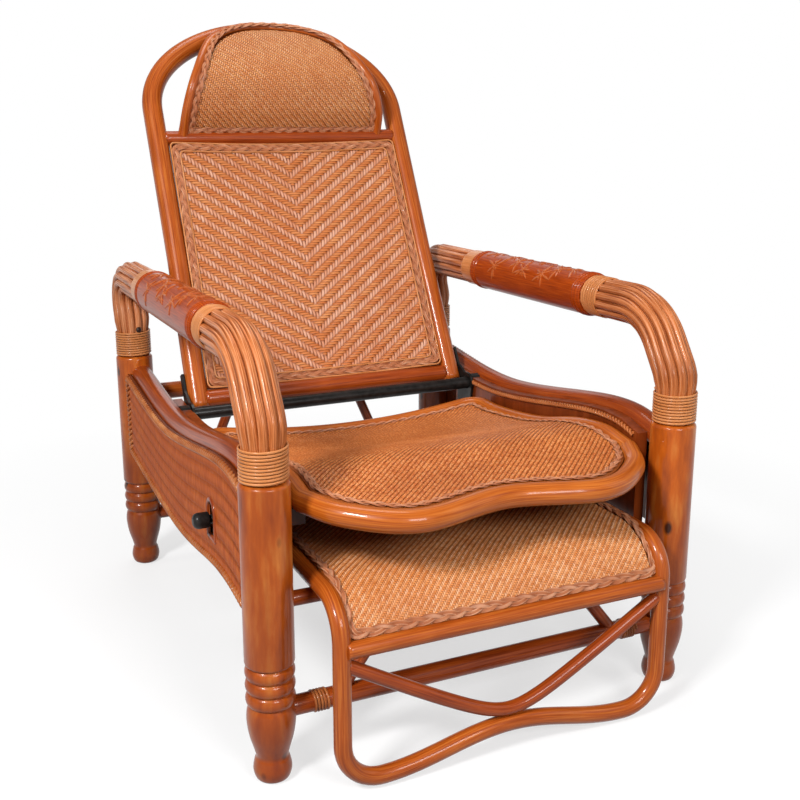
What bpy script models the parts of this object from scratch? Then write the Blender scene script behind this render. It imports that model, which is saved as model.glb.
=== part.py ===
"""Rattan recliner with a reclining back, a sliding footrest and a release lever.

Metres, +Z up, the front faces -Y and +X is to the right as seen from the front.
Pieces are drawn in a working frame whose origin lies on the floor, midway
between the four leg axes. One empty then shifts the whole chair along Y so that
the origin is the middle of its bounding box, on the floor.
"""
import math

import bmesh
import bpy
import numpy as np
from mathutils import Matrix, Vector

# Clearances
GAP = 0.0003            # between neighbours that touch
PIN_PLAY = 0.0003       # radial play of a pin or rod in its hole
RIM_PLAY = 0.0006       # between a pawl tip and the quadrant rim it locks

# Legs
LEG_SPACING_X = 0.600
LEG_SPACING_Y = 0.750
LEG_RADIUS = 0.0315
LEG_SHOULDER_Z = 0.395
SHOULDER_ROUND = 0.006
FOOT_BALL_RADIUS = 0.025
FOOT_BALL_Z = 0.020
FOOT_NECK_RADIUS = 0.0215
FOOT_NECK_Z = 0.041
VASE_RADIUS = 0.031
VASE_Z = 0.088
BEAD_START_Z = 0.104
BEAD_PITCH = 0.018
BEAD_COUNT = 3
BEAD_GROOVE = 0.0045
LEG_SIDES = 12
RAIL_SIDES = 12
THIN_SIDES = 10
POST_SIDES = 16

# Rattan windings
WIRE_RADIUS = 0.0022
WIRE_PITCH = 0.0052
WIRE_POINTS = 10
LEG_WINDING_LOOPS = 8
SLEEVE_WINDING_LOOPS = 7
STRETCHER_WINDING_LOOPS = 4

# Arms
ARM_RADIUS = 0.030
ARM_CANES = 9
CANE_GROOVE = 0.0035
ARM_FRONT_Z = 0.546
ARM_REAR_Z = 0.534
ARM_CORE = 0.0245            # bundle under a winding, a band or a sleeve
ARM_COLLAR = 0.018           # upright canes above each leg winding
ARM_FRONT_SETBACK = 0.058    # front corner of the arm behind the front leg
ARM_REAR_OVERHANG = 0.036    # rear corner of the arm behind the rear leg
ARM_FRONT_BEND = 0.090
ARM_REAR_BEND = 0.042
ARM_FOOT_BEND = 0.050
SLEEVE_FRONT_Y = -0.175
SLEEVE_REAR_Y = 0.172
SLEEVE_RADIUS = 0.033
SLEEVE_GROOVE = 0.0022
SLEEVE_RIM = 0.008           # width of each rim between the end grooves
BAND_WIDTH = 0.038
BAND_RADIUS = 0.0308

# Sides
BOARD_WALL = 0.016
BOARD_RISE = 0.004           # board's lower edge above the woven panel's
RAIL_X = 0.2935               # rail axis from the middle plane
RAIL_RADIUS = 0.018
RAIL_TOP_REAR = 0.382
RAIL_TOP_LOW = 0.360
RAIL_TOP_LOW_Y = 0.070
RAIL_TOP_HIGH = 0.402
RAIL_TOP_HIGH_Y = -0.255
RAIL_TOP_FRONT = 0.383
BOARD_DROP = 0.014           # board's top edge below the rail's top
PANEL_WALL = 0.008
PANEL_DROP = 0.014           # woven panel's top edge below the rail's top
PANEL_LOW_REAR = 0.226
PANEL_LOW_MID = 0.204
PANEL_LOW_MID_Y = 0.010
PANEL_LOW_CREST = 0.227
PANEL_LOW_CREST_Y = -0.235
PANEL_LOW_FRONT = 0.215
SLOT_Y = -0.198
SLOT_WIDTH = 0.046
BOARD_PAST_PIVOT = 0.050     # how far a side board runs on behind the pivot
SLOT_HEIGHT = 0.056

# Cross rails and stretchers
FRONT_ROD_RADIUS = 0.010
FRONT_ROD_SETBACK = 0.015    # behind the front leg axes
FRONT_ROD_Z = 0.230
STRETCHER_RADIUS = 0.013
STRETCHER_Z = 0.092
REAR_RAIL_RADIUS = 0.015
REAR_RAIL_Z = 0.322
BRACE_RADIUS = 0.009
BRACE_HALF_SPAN = 0.205
BRACE_TOP_HALF = 0.120
BRACE_BEND = 0.060

# Seat
SEAT_FRAME_RADIUS = 0.015
SEAT_REAR_Y = 0.094
SEAT_CORNER_Y = -0.350
SEAT_CORNER_IN = 0.035       # rounding of the front corners across and along
SEAT_CORNER_OUT = 0.058
SEAT_REAR_BEND = 0.030
SEAT_LOBE_X = 0.130
SEAT_LOBE_Y = -0.452
SEAT_DIP_Y = -0.428
SEAT_REAR_Z = 0.313          # frame axis along the sides, from the rear
SEAT_LOW_Z = 0.311
SEAT_LOW_Y = 0.022
SEAT_MIDDLE_Z = 0.326
SEAT_MIDDLE_Y = -0.107
SEAT_RISE_Z = 0.352
SEAT_RISE_Y = -0.219
SEAT_CREST_Z = 0.360
SEAT_CREST_Y = -0.290
SEAT_CORNER_Z = 0.352
SEAT_FRONT_Z = 0.344
SEAT_MAT_WALL = 0.007
SEAT_MAT_RISE = 0.010        # mat's edge above the frame's axis
SEAT_SAG = 0.022
BEARER_HEIGHT = 0.022
BEARER_WIDTH = 0.024
BEARER_FRONT_Y = -0.335
BEARER_REAR_Y = -0.245

# Backrest, with s measured up its slope from the lower edge
BACK_ANGLE = math.radians(27.85)
BACK_FOOT_Y = 0.1783
BACK_FOOT_Z = 0.3361
BACK_STILE_RADIUS = 0.0175
BACK_SIDE_PLAY = 0.0062      # between a stile's foot and the side board
BACK_NARROWING = 0.0045      # how much each stile leans in above its foot
BACK_TAPER_S = 0.260
BACK_ARCH_S = 0.545          # where the arch springs
BACK_TOP_S = 0.704
BOTTOM_RAIL_RADIUS = 0.015
CROSSBAR_S = 0.490
CROSSBAR_RADIUS = 0.013
BACK_MAT_WALL = 0.008
BACK_MAT_HOLLOW = 0.012
BACK_MAT_FORWARD = 0.010     # mat's edge in front of the stile axes

# Headrest
HEAD_HALF = 0.186
HEAD_TOP_S = 0.700
HEAD_CANE_RADIUS = 0.008
HEAD_BULGE = 0.071           # furthest forward of the stile axes
HEAD_BULGE_S = 0.580
HEAD_BULGE_HALF = 0.161
HEAD_SHOULDER = (0.40, 0.66)             # shares of the rise and of the bulge
HEAD_CROWN = (0.74, 0.62, 0.62)          # shares of width, rise and bulge above the widest place
HEAD_PEAK = (0.36, 0.93, 0.16)           # the same shares close to the top
HEAD_MAT_DROP = 0.0206                   # top of the mat below the top of the cane's axis
HEAD_MAT_WALL = 0.008

# Backrest pivot
PIVOT_Y = 0.150
PIVOT_Z = 0.336
PIVOT_RADIUS = 0.0105
PIVOT_WALL = 0.002
BUSH_WALL = 0.005
BRACKET_WALL = 0.004
BRACKET_RADIUS = 0.019
QUADRANT_RADIUS = 0.050
QUADRANT_START = math.radians(-104.0)
QUADRANT_END = math.radians(-46.0)
NOTCH_COUNT = 4
NOTCH_DEPTH = 0.005
NOTCH_ANGLE = math.radians(7.0)
RECLINE = math.radians(38.0)
BRACKET_ARM_S = 0.060
BRACKET_ARM_WIDTH = 0.013

# Release lever
LEVER_Y = 0.000
LEVER_Z = 0.279
LEVER_ROD_Z = 0.287
LEVER_ROD_RADIUS = 0.006
LEVER_BAR_HEIGHT = 0.016
LEVER_EYE_RADIUS = 0.011
LEVER_TRAVEL = math.radians(5.0)
LEVER_PIN_RADIUS = 0.004
LEVER_PIN_HEAD = 0.003
PAWL_ANGLE = math.radians(-95.0)
PAWL_WIDTH = 0.006
PAWL_LENGTH = 0.007
KNOB_RADIUS = 0.011
KNOB_LENGTH = 0.022
KNOB_ROUND = 0.006
KNOB_START = 0.3235          # inner end of a knob from the middle plane

# Footrest
FOOT_SIDE_PLAY = 0.0137      # between the loop's canes and the side boards
FOOT_CANE_RADIUS = 0.0115
FOOT_PLANE_Y = -0.450
FOOT_BEND = 0.050
FOOT_REAR_Y = 0.080
FOOT_LIFT = 0.003            # bottom of the loop above the floor
FOOT_CORNER_X = 0.182
FOOT_HUMP = 0.027            # rise of the loop's bottom at the middle
FOOT_BAR_RADIUS = 0.011
FOOT_BAR_Y = -0.455
FOOT_BAR_Z = 0.196
FOOT_V_RADIUS = 0.009
FOOT_V_TOP_Z = 0.178
FOOT_V_BEND = 0.045          # how softly the V turns at its foot
FOOT_CROSS_RADIUS = 0.008
FOOT_MIDDLE_Y = -0.290
FOOT_MAT_WALL = 0.0045
FOOT_MAT_BEND = 0.0825
RUNNER_HEIGHT = 0.014
RUNNER_FRONT_Y = -0.100
RUNNER_REAR_Y = 0.200

# Places worked out from the sizes above
LEG_X = LEG_SPACING_X / 2
LEG_Y = LEG_SPACING_Y / 2
BOARD_OUT = RAIL_X - RAIL_RADIUS - GAP
BOARD_IN = BOARD_OUT - BOARD_WALL
PANEL_IN = RAIL_X + RAIL_RADIUS + GAP
PANEL_OUT = PANEL_IN + PANEL_WALL
SEAT_FRAME_X = BOARD_IN - GAP - SEAT_FRAME_RADIUS
FRONT_ROD_Y = -LEG_Y + FRONT_ROD_SETBACK
FOOT_HALF = BOARD_IN - FOOT_SIDE_PLAY - FOOT_CANE_RADIUS
BACK_FOOT_HALF = BOARD_IN - BACK_SIDE_PLAY - BACK_STILE_RADIUS
BACK_HALF = BACK_FOOT_HALF - BACK_NARROWING
FOOT_CANE_Z = FRONT_ROD_Z + FRONT_ROD_RADIUS + GAP + FOOT_CANE_RADIUS
RUNNER_TOP = FOOT_CANE_Z - FOOT_CANE_RADIUS - GAP
PLATE_IN = BACK_FOOT_HALF + BACK_STILE_RADIUS + GAP
PLATE_OUT = PLATE_IN + BRACKET_WALL
PIVOT = Vector((0.0, PIVOT_Y, PIVOT_Z))
FULCRUM = Vector((0.0, LEVER_Y, LEVER_Z))
FOOT_ORIGIN = Vector((0.0, FOOT_PLANE_Y, FOOT_CANE_Z))
BACK_UP = Vector((0.0, math.sin(BACK_ANGLE), math.cos(BACK_ANGLE)))
BACK_FRONT = Vector((0.0, -math.cos(BACK_ANGLE), math.sin(BACK_ANGLE)))
BACK_FOOT = Vector((0.0, BACK_FOOT_Y, BACK_FOOT_Z))
FRONT_REACH = SEAT_LOBE_Y - SEAT_FRAME_RADIUS
REAR_REACH = (BACK_FOOT + BACK_UP * BACK_TOP_S - BACK_FRONT * BACK_STILE_RADIUS).y
CENTRE_SHIFT = -(FRONT_REACH + REAR_REACH) / 2


# Small tools

def linear(code):
    """Turn an sRGB hex colour into linear red, green and blue."""
    parts = [int(code[i:i + 2], 16) / 255 for i in (0, 2, 4)]
    return [c / 12.92 if c <= 0.04045 else ((c + 0.055) / 1.055) ** 2.4 for c in parts]


def finish(name, code, roughness, metallic=0.0):
    """Make a plain material from a colour, a roughness and a metallic value."""
    material = bpy.data.materials.new(name)
    material.use_nodes = True
    shader = material.node_tree.nodes["Principled BSDF"]
    shader.inputs["Base Color"].default_value = (*linear(code), 1.0)
    shader.inputs["Roughness"].default_value = roughness
    shader.inputs["Metallic"].default_value = metallic
    return material


def empty(name, place, parent=None):
    """Add an empty on a joint's axis, given in the working frame."""
    axis = bpy.data.objects.new(name, None)
    bpy.context.collection.objects.link(axis)
    axis.parent = parent
    axis.location = place
    axis["place"] = place
    return axis


def add(name, mesh, material, body):
    """Put a mesh drawn in the working frame on the empty of its body."""
    piece = bpy.data.objects.new(name, mesh)
    bpy.context.collection.objects.link(piece)
    mesh.materials.clear()
    mesh.materials.append(material)
    mesh.shade_smooth()
    mesh.set_sharp_from_angle(angle=math.radians(40))
    piece.parent = body
    piece.matrix_parent_inverse = Matrix.Translation(Vector(body["place"])).inverted()
    return piece


def mesh_from(bm, name):
    """Turn a bmesh into a mesh with its faces pointing out."""
    bmesh.ops.recalc_face_normals(bm, faces=bm.faces)
    if bm.calc_volume(signed=True) < 0:
        bmesh.ops.reverse_faces(bm, faces=bm.faces)
    mesh = bpy.data.meshes.new(name)
    bm.to_mesh(mesh)
    bm.free()
    return mesh


def tube_mesh(path, radius, cyclic=False, resolution=2, radii=None):
    """Bevel a polyline into a closed round tube of 4 + 2 x resolution sides."""
    curve = bpy.data.curves.new("tube", "CURVE")
    curve.dimensions = "3D"
    curve.bevel_depth = radius
    curve.bevel_resolution = resolution
    curve.use_fill_caps = True
    spline = curve.splines.new("POLY")
    spline.points.add(len(path) - 1)
    for index, point in enumerate(path):
        spline.points[index].co = (*point, 1.0)
        if radii is not None:
            spline.points[index].radius = radii[index] / radius
    spline.use_cyclic_u = cyclic
    guide = bpy.data.objects.new("tube", curve)
    bpy.context.collection.objects.link(guide)
    depsgraph = bpy.context.evaluated_depsgraph_get()
    mesh = bpy.data.meshes.new_from_object(guide.evaluated_get(depsgraph))
    bpy.data.objects.remove(guide)
    bpy.data.curves.remove(curve)
    bm = bmesh.new()
    bm.from_mesh(mesh)
    bmesh.ops.remove_doubles(bm, verts=bm.verts, dist=1e-6)
    bpy.data.meshes.remove(mesh)
    return mesh_from(bm, "tube")


def tube(name, path, radius, material, body, **options):
    """Add a round tube along a path."""
    return add(name, tube_mesh(path, radius, **options), material, body)


def loft_mesh(rings, name):
    """Join rings of equal point counts into a closed solid with flat end caps."""
    bm = bmesh.new()
    rows = [[bm.verts.new(point) for point in ring] for ring in rings]
    for near, far in zip(rows, rows[1:]):
        for i in range(len(near)):
            j = (i + 1) % len(near)
            bm.faces.new((near[i], near[j], far[j], far[i]))
    bm.faces.new(rows[0])
    bm.faces.new(rows[-1])
    return mesh_from(bm, name)


def plate(name, outline, low_x, high_x, material, body):
    """Extrude an outline of (y, z) points along X between two planes."""
    rings = [[(x, y, z) for y, z in outline] for x in (low_x, high_x)]
    return add(name, loft_mesh(rings, name), material, body)


def sheet_mesh(top, bottom, name):
    """Close two grids of points, the same size, into one thin solid."""
    bm = bmesh.new()
    upper = [[bm.verts.new(p) for p in row] for row in top]
    lower = [[bm.verts.new(p) for p in row] for row in bottom]
    rows, columns = len(upper), len(upper[0])
    for i in range(rows - 1):
        for j in range(columns - 1):
            bm.faces.new((upper[i][j], upper[i][j + 1], upper[i + 1][j + 1], upper[i + 1][j]))
            bm.faces.new((lower[i][j], lower[i + 1][j], lower[i + 1][j + 1], lower[i][j + 1]))
    rim = [(0, j) for j in range(columns)]
    rim += [(i, columns - 1) for i in range(1, rows)]
    rim += [(rows - 1, j) for j in range(columns - 2, -1, -1)]
    rim += [(i, 0) for i in range(rows - 2, 0, -1)]
    for (i, j), (k, m) in zip(rim, rim[1:] + rim[:1]):
        bm.faces.new((upper[i][j], lower[i][j], lower[k][m], upper[k][m]))
    return mesh_from(bm, name)


def turned(name, profile, steps, material, body, place=(0, 0, 0), turn=None):
    """Turn a profile of (radius, height) points about Z with a Screw modifier."""
    mesh = bpy.data.meshes.new(name)
    points = [(radius, 0.0, height) for radius, height in profile]
    mesh.from_pydata(points, [(i, i + 1) for i in range(len(points) - 1)], [])
    piece = add(name, mesh, material, body)
    piece.location = place
    if turn is not None:
        piece.rotation_euler = turn
    screw = piece.modifiers.new("turn", "SCREW")
    screw.steps = steps
    screw.render_steps = steps
    screw.use_merge_vertices = True
    screw.merge_threshold = 0.00001
    return piece


def ring_profile(inner, outer, low, high):
    """Give the closed profile of a plain ring, down its outer side first."""
    return [(inner, high), (outer, high), (outer, low), (inner, low), (inner, high)]


def rod_mesh(start, end, radius, sides):
    """Make a straight round rod between two points."""
    start, end = Vector(start), Vector(end)
    axis = end - start
    bm = bmesh.new()
    bmesh.ops.create_cone(bm, cap_ends=True, segments=sides, radius1=radius, radius2=radius,
                          depth=axis.length)
    bm.transform(Matrix.Translation((start + end) / 2) @ axis.to_track_quat("Z", "Y").to_matrix().to_4x4())
    return mesh_from(bm, "rod")


def cutter(mesh, body):
    """Add a hidden solid that is only used to cut others."""
    tool = add("cutter", mesh, CUTTER, body)
    tool.hide_render = True
    tool.display_type = "WIRE"
    return tool


def cut(piece, tool):
    """Cut one solid out of a piece."""
    modifier = piece.modifiers.new("cut", "BOOLEAN")
    modifier.operation = "DIFFERENCE"
    modifier.solver = "EXACT"
    modifier.object = tool


def smooth(points, count):
    """Read a curve through a few points at evenly spaced places."""
    points = np.array(points, float)
    ends = np.vstack([2 * points[0] - points[1], points, 2 * points[-1] - points[-2]])
    places = np.linspace(0, len(points) - 1, count)
    low = np.minimum(places.astype(int), len(points) - 2)
    t = (places - low)[:, None]
    a, b, c, d = ends[low], ends[low + 1], ends[low + 2], ends[low + 3]
    return 0.5 * (2 * b + (c - a) * t + (2 * a - 5 * b + 4 * c - d) * t ** 2
                  + (3 * b - a - 3 * c + d) * t ** 3)


def height_curve(points):
    """Give a function z(y) through a few (y, z) points in rising order of y."""
    fine = smooth(sorted(points), 200)
    return lambda y: float(np.interp(y, fine[:, 0], fine[:, 1]))


def rounded(corners, bends, steps=6):
    """Round the inner corners of a polyline with arcs of the given radii."""
    corners = [Vector(c) for c in corners]
    path = [corners[0]]
    for before, corner, after, bend in zip(corners, corners[1:], corners[2:], bends):
        into = (corner - before).normalized()
        out = (after - corner).normalized()
        turn = into.angle(out)
        start = corner - into * bend * math.tan(turn / 2)
        side = (out - into * into.dot(out)).normalized()
        centre = start + side * bend
        for k in range(steps + 1):
            angle = turn * k / steps
            path.append(centre - side * bend * math.cos(angle) + into * bend * math.sin(angle))
    path.append(corners[-1])
    return path


def on_back(x, s, forward=0.0):
    """Place a point on the slope of the backrest."""
    return BACK_FOOT + BACK_UP * s + BACK_FRONT * forward + Vector((x, 0.0, 0.0))


def sides():
    """Name the two sides and give the sign of their X."""
    return (("left", -1), ("right", 1))


# Start from an empty scene
for old in list(bpy.data.objects):
    bpy.data.objects.remove(old)

CUTTER = finish("cutter", "808080", 0.5)
LEG_WOOD = finish("turned_wood", "B0622F", 0.25)
CANE = finish("lacquered_cane", "C8742F", 0.25)
DARK_CANE = finish("dark_cane", "A84E1C", 0.25)
CARVED_WOOD = finish("carved_wood", "A34A1B", 0.2)
WINDING = finish("rattan_winding", "C07A3C", 0.35)
WEAVE = finish("rattan_weave", "C4773B", 0.45)
BOARD_WOOD = finish("board_wood", "B5652E", 0.35)
STEEL = finish("black_steel", "1B1A1A", 0.4, 0.8)
RUBBER = finish("black_rubber", "161616", 0.6)

CHAIR = empty("recliner", (0.0, 0.0, 0.0))
CHAIR.location = (0.0, CENTRE_SHIFT, 0.0)
BACKREST = empty("backrest_pivot", PIVOT, CHAIR)
FOOTREST = empty("footrest_slide", FOOT_ORIGIN, CHAIR)
LEVER = empty("release_fulcrum", FULCRUM, CHAIR)


# Legs

def leg_profile():
    """Give a leg's (radius, height) points from its top to its foot."""
    bead_top = BEAD_START_Z + BEAD_COUNT * BEAD_PITCH
    groove = LEG_RADIUS - BEAD_GROOVE
    points = [(0.0, LEG_SHOULDER_Z), (LEG_RADIUS - SHOULDER_ROUND, LEG_SHOULDER_Z),
              (LEG_RADIUS, LEG_SHOULDER_Z - SHOULDER_ROUND), (LEG_RADIUS, bead_top + BEAD_PITCH / 4)]
    for k in range(BEAD_COUNT):
        top = bead_top - k * BEAD_PITCH
        points += [(groove, top), (LEG_RADIUS, top - BEAD_PITCH / 4), (LEG_RADIUS, top - 3 * BEAD_PITCH / 4)]
    waist_z = (VASE_Z + FOOT_NECK_Z) / 2
    waist = (VASE_RADIUS + FOOT_NECK_RADIUS) / 2 + (VASE_RADIUS - FOOT_NECK_RADIUS) / 5
    points += [(groove, BEAD_START_Z), (VASE_RADIUS, VASE_Z), (waist, waist_z)]
    points.append((FOOT_NECK_RADIUS, FOOT_NECK_Z))
    upper = math.acos((FOOT_NECK_Z - BEAD_GROOVE - FOOT_BALL_Z) / FOOT_BALL_RADIUS)
    lower = math.pi - math.acos(FOOT_BALL_Z / FOOT_BALL_RADIUS)
    for angle in np.linspace(upper, lower, 5):
        points.append((FOOT_BALL_RADIUS * math.sin(angle), FOOT_BALL_Z + FOOT_BALL_RADIUS * math.cos(angle)))
    return points + [(0.0, points[-1][1])]


def leg_places():
    """Name the four legs and give their axes."""
    for end, end_sign in (("front", -1), ("rear", 1)):
        for side, side_sign in sides():
            yield f"{end}_{side}", side_sign * LEG_X, end_sign * LEG_Y


LEG_CUTTERS = []
for place, x, y in leg_places():
    turned(f"leg_{place}", leg_profile(), LEG_SIDES, LEG_WOOD, CHAIR, (x, y, 0.0))
    reach = LEG_RADIUS + GAP / math.cos(math.pi / LEG_SIDES)
    LEG_CUTTERS.append(cutter(rod_mesh((x, y, 0), (x, y, LEG_SHOULDER_Z), reach, LEG_SIDES), CHAIR))


# Windings

def winding(name, base, axis, core, loops, body):
    """Wind one unbroken strand round a core and print its least gap to itself."""
    axis = Vector(axis).normalized()
    across = axis.orthogonal().normalized()
    beside = axis.cross(across)
    radius = (core + GAP + WIRE_RADIUS) / math.cos(math.pi / WIRE_POINTS)
    path = []
    for k in range(loops * WIRE_POINTS + 1):
        angle = 2 * math.pi * k / WIRE_POINTS
        rise = WIRE_RADIUS + GAP + WIRE_PITCH * k / WIRE_POINTS
        round_axis = across * math.cos(angle) + beside * math.sin(angle)
        path.append(Vector(base) + axis * rise + round_axis * radius)
    points = np.array(path)
    apart = np.linalg.norm(points[:, None] - points[None], axis=2)
    rank = np.arange(len(points))
    far = np.abs(rank[:, None] - rank[None]) > WIRE_POINTS // 2
    print(f"{name}: least gap to itself {1000 * (apart[far].min() - 2 * WIRE_RADIUS):.2f} mm")
    return tube(name, path, WIRE_RADIUS, WINDING, body, resolution=1)


def winding_length(loops):
    """Give the room that a winding takes along its core."""
    return loops * WIRE_PITCH + 2 * (WIRE_RADIUS + GAP)


for place, x, y in leg_places():
    winding(f"winding_{place}", (x, y, LEG_SHOULDER_Z), (0, 0, 1), ARM_CORE, LEG_WINDING_LOOPS, CHAIR)


# Arms

ARM_CORNER_Z = LEG_SHOULDER_Z + winding_length(LEG_WINDING_LOOPS) + ARM_COLLAR
ARM_FRONT = Vector((0.0, -LEG_Y + ARM_FRONT_SETBACK, ARM_FRONT_Z))
ARM_REAR = Vector((0.0, LEG_Y + ARM_REAR_OVERHANG, ARM_REAR_Z))
ARM_AXIS = (ARM_REAR - ARM_FRONT).normalized()
ARM_BORE = (ARM_CORE + GAP) / math.cos(math.pi / LEG_SIDES)


def on_arm(y):
    """Place a point on the arm's straight top run."""
    return ARM_FRONT + ARM_AXIS * ((y - ARM_FRONT.y) / ARM_AXIS.y)


def arm_stations():
    """Give the arm's path with, at each point, the radius and the depth of its cane grooves."""
    low = LEG_SHOULDER_Z + GAP
    winding_top = LEG_SHOULDER_Z + winding_length(LEG_WINDING_LOOPS) + GAP
    corners = [(0, -LEG_Y, low), (0, -LEG_Y, ARM_CORNER_Z), ARM_FRONT,
               ARM_REAR, (0, LEG_Y, ARM_CORNER_Z), (0, LEG_Y, low)]
    bends = (ARM_FOOT_BEND, ARM_FRONT_BEND, ARM_REAR_BEND, ARM_FOOT_BEND)
    path = rounded(corners, bends, steps=3)
    band_front = SLEEVE_FRONT_Y - GAP - winding_length(SLEEVE_WINDING_LOOPS)
    band_rear = SLEEVE_REAR_Y + 2 * GAP + BAND_WIDTH
    full, core = (ARM_RADIUS, CANE_GROOVE), (ARM_CORE, 0.0)
    front_top = Vector((0, -LEG_Y, winding_top))
    rear_top = Vector((0, LEG_Y, winding_top))
    front = [(path[0], core), (front_top, core), (front_top, full)]
    top = [(on_arm(band_front), full), (on_arm(band_front), core),
           (on_arm(band_rear), core), (on_arm(band_rear), full)]
    rear = [(rear_top, full), (rear_top, core), (path[-1], core)]
    half = len(path) // 2
    return front + [(p, full) for p in path[1:half]] + top + [(p, full) for p in path[half:-1]] + rear


def arm_mesh(x, name):
    """Sweep a ring with one crest for each cane along the arm."""
    stations = arm_stations()
    places = [p for p, _ in stations]
    rings = []
    for k, (place, (radius, groove)) in enumerate(stations):
        before = next((p for p in reversed(places[:k]) if (p - place).length > GAP), None)
        after = next((p for p in places[k + 1:] if (p - place).length > GAP), None)
        into = (place - before).normalized() if before else (after - place).normalized()
        out = (after - place).normalized() if after else into
        along = (into + out).normalized()
        normal = Vector((1, 0, 0)).cross(along)
        ring = []
        for i in range(2 * ARM_CANES):
            angle = math.pi * i / ARM_CANES
            reach = radius - groove * (i % 2)
            beside = Vector((x + reach * math.cos(angle), 0, 0))
            ring.append(place + beside + normal * reach * math.sin(angle))
        rings.append(ring)
    return loft_mesh(rings, name)


def sleeve_profile(length):
    """Give a sleeve's closed profile, with two turned grooves near each end."""
    low = SLEEVE_RADIUS - SLEEVE_GROOVE
    end = []
    for k in (1, 2):
        at = k * SLEEVE_RIM
        end += [(SLEEVE_RADIUS, at - SLEEVE_GROOVE), (low, at), (SLEEVE_RADIUS, at + SLEEVE_GROOVE)]
    lower = [(ARM_BORE, 0.0), (SLEEVE_RADIUS, 0.0)] + end
    upper = [(radius, length - z) for radius, z in lower]
    return upper + lower[::-1] + upper[:1]


for side, sign in sides():
    x = sign * LEG_X
    offset = Vector((x, 0, 0))
    turn = ARM_AXIS.to_track_quat("Z", "Y").to_euler()
    add(f"arm_canes_{side}", arm_mesh(x, f"arm_canes_{side}"), CANE, CHAIR)
    start = on_arm(SLEEVE_FRONT_Y) + offset
    sleeve_length = (on_arm(SLEEVE_REAR_Y) - on_arm(SLEEVE_FRONT_Y)).length
    turned(f"arm_sleeve_{side}", sleeve_profile(sleeve_length), LEG_SIDES, CARVED_WOOD, CHAIR, start, turn)
    winding(f"sleeve_winding_{side}", start - ARM_AXIS * winding_length(SLEEVE_WINDING_LOOPS), ARM_AXIS,
            ARM_CORE, SLEEVE_WINDING_LOOPS, CHAIR)
    band = ring_profile(ARM_BORE, BAND_RADIUS, 0.0, BAND_WIDTH)
    place = on_arm(SLEEVE_REAR_Y) + ARM_AXIS * GAP + offset
    turned(f"sleeve_band_{side}", band, LEG_SIDES, WINDING, CHAIR, place, turn)


# Sides

RAIL_TOP = height_curve([(-LEG_Y, RAIL_TOP_FRONT), (RAIL_TOP_HIGH_Y, RAIL_TOP_HIGH),
                         (RAIL_TOP_LOW_Y, RAIL_TOP_LOW), (LEG_Y, RAIL_TOP_REAR)])
PANEL_LOW = height_curve([(-LEG_Y, PANEL_LOW_FRONT), (PANEL_LOW_CREST_Y, PANEL_LOW_CREST),
                          (PANEL_LOW_MID_Y, PANEL_LOW_MID), (LEG_Y, PANEL_LOW_REAR)])
SIDE_STEPS = 14
BOARD_FRONT_Y = FRONT_ROD_Y + FRONT_ROD_RADIUS + GAP
BOARD_REAR_Y = PIVOT_Y + BOARD_PAST_PIVOT
ROD_REST_Z = LEVER_ROD_Z - LEVER_ROD_RADIUS - PIN_PLAY
ROD_RISE = (LEVER_Y - SLOT_Y) * math.tan(LEVER_TRAVEL)


def side_outline(front, rear, top, low):
    """Give the outline between two wavy edges as (y, z) points."""
    across = np.linspace(front, rear, SIDE_STEPS)
    return [(y, low(y)) for y in across] + [(y, top(y)) for y in across[::-1]]


def arched_slot(width, low, high):
    """Give the outline of a slot with a flat foot and a round head."""
    half = width / 2
    head = [(SLOT_Y + half * math.cos(a), high - half + half * math.sin(a))
            for a in np.linspace(0, math.pi, 8)]
    return [(SLOT_Y - half, low), (SLOT_Y + half, low)] + head


def slot_cutter(outline, sign):
    """Make a cutter through both skins of one side from a slot's outline."""
    low_x, high_x = sorted((sign * BOARD_IN - sign * BOARD_WALL, sign * PANEL_OUT + sign * PANEL_WALL))
    rings = [[(x, y, z) for y, z in outline] for x in (low_x, high_x)]
    return cutter(loft_mesh(rings, "slot"), CHAIR)


SLOT_LOW = LEVER_ROD_Z - SLOT_HEIGHT / 2
rod_slot_top = LEVER_ROD_Z + ROD_RISE + 2 * LEVER_ROD_RADIUS
rod_slot = arched_slot(2 * LEVER_ROD_RADIUS + KNOB_ROUND, ROD_REST_Z, rod_slot_top)
knob_slot = arched_slot(SLOT_WIDTH, SLOT_LOW, SLOT_LOW + SLOT_HEIGHT)
BUSH_BORE = (PIVOT_RADIUS + PIN_PLAY) / math.cos(math.pi / LEG_SIDES)
BUSH_RADIUS = PIVOT_RADIUS + PIN_PLAY + BUSH_WALL

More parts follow.
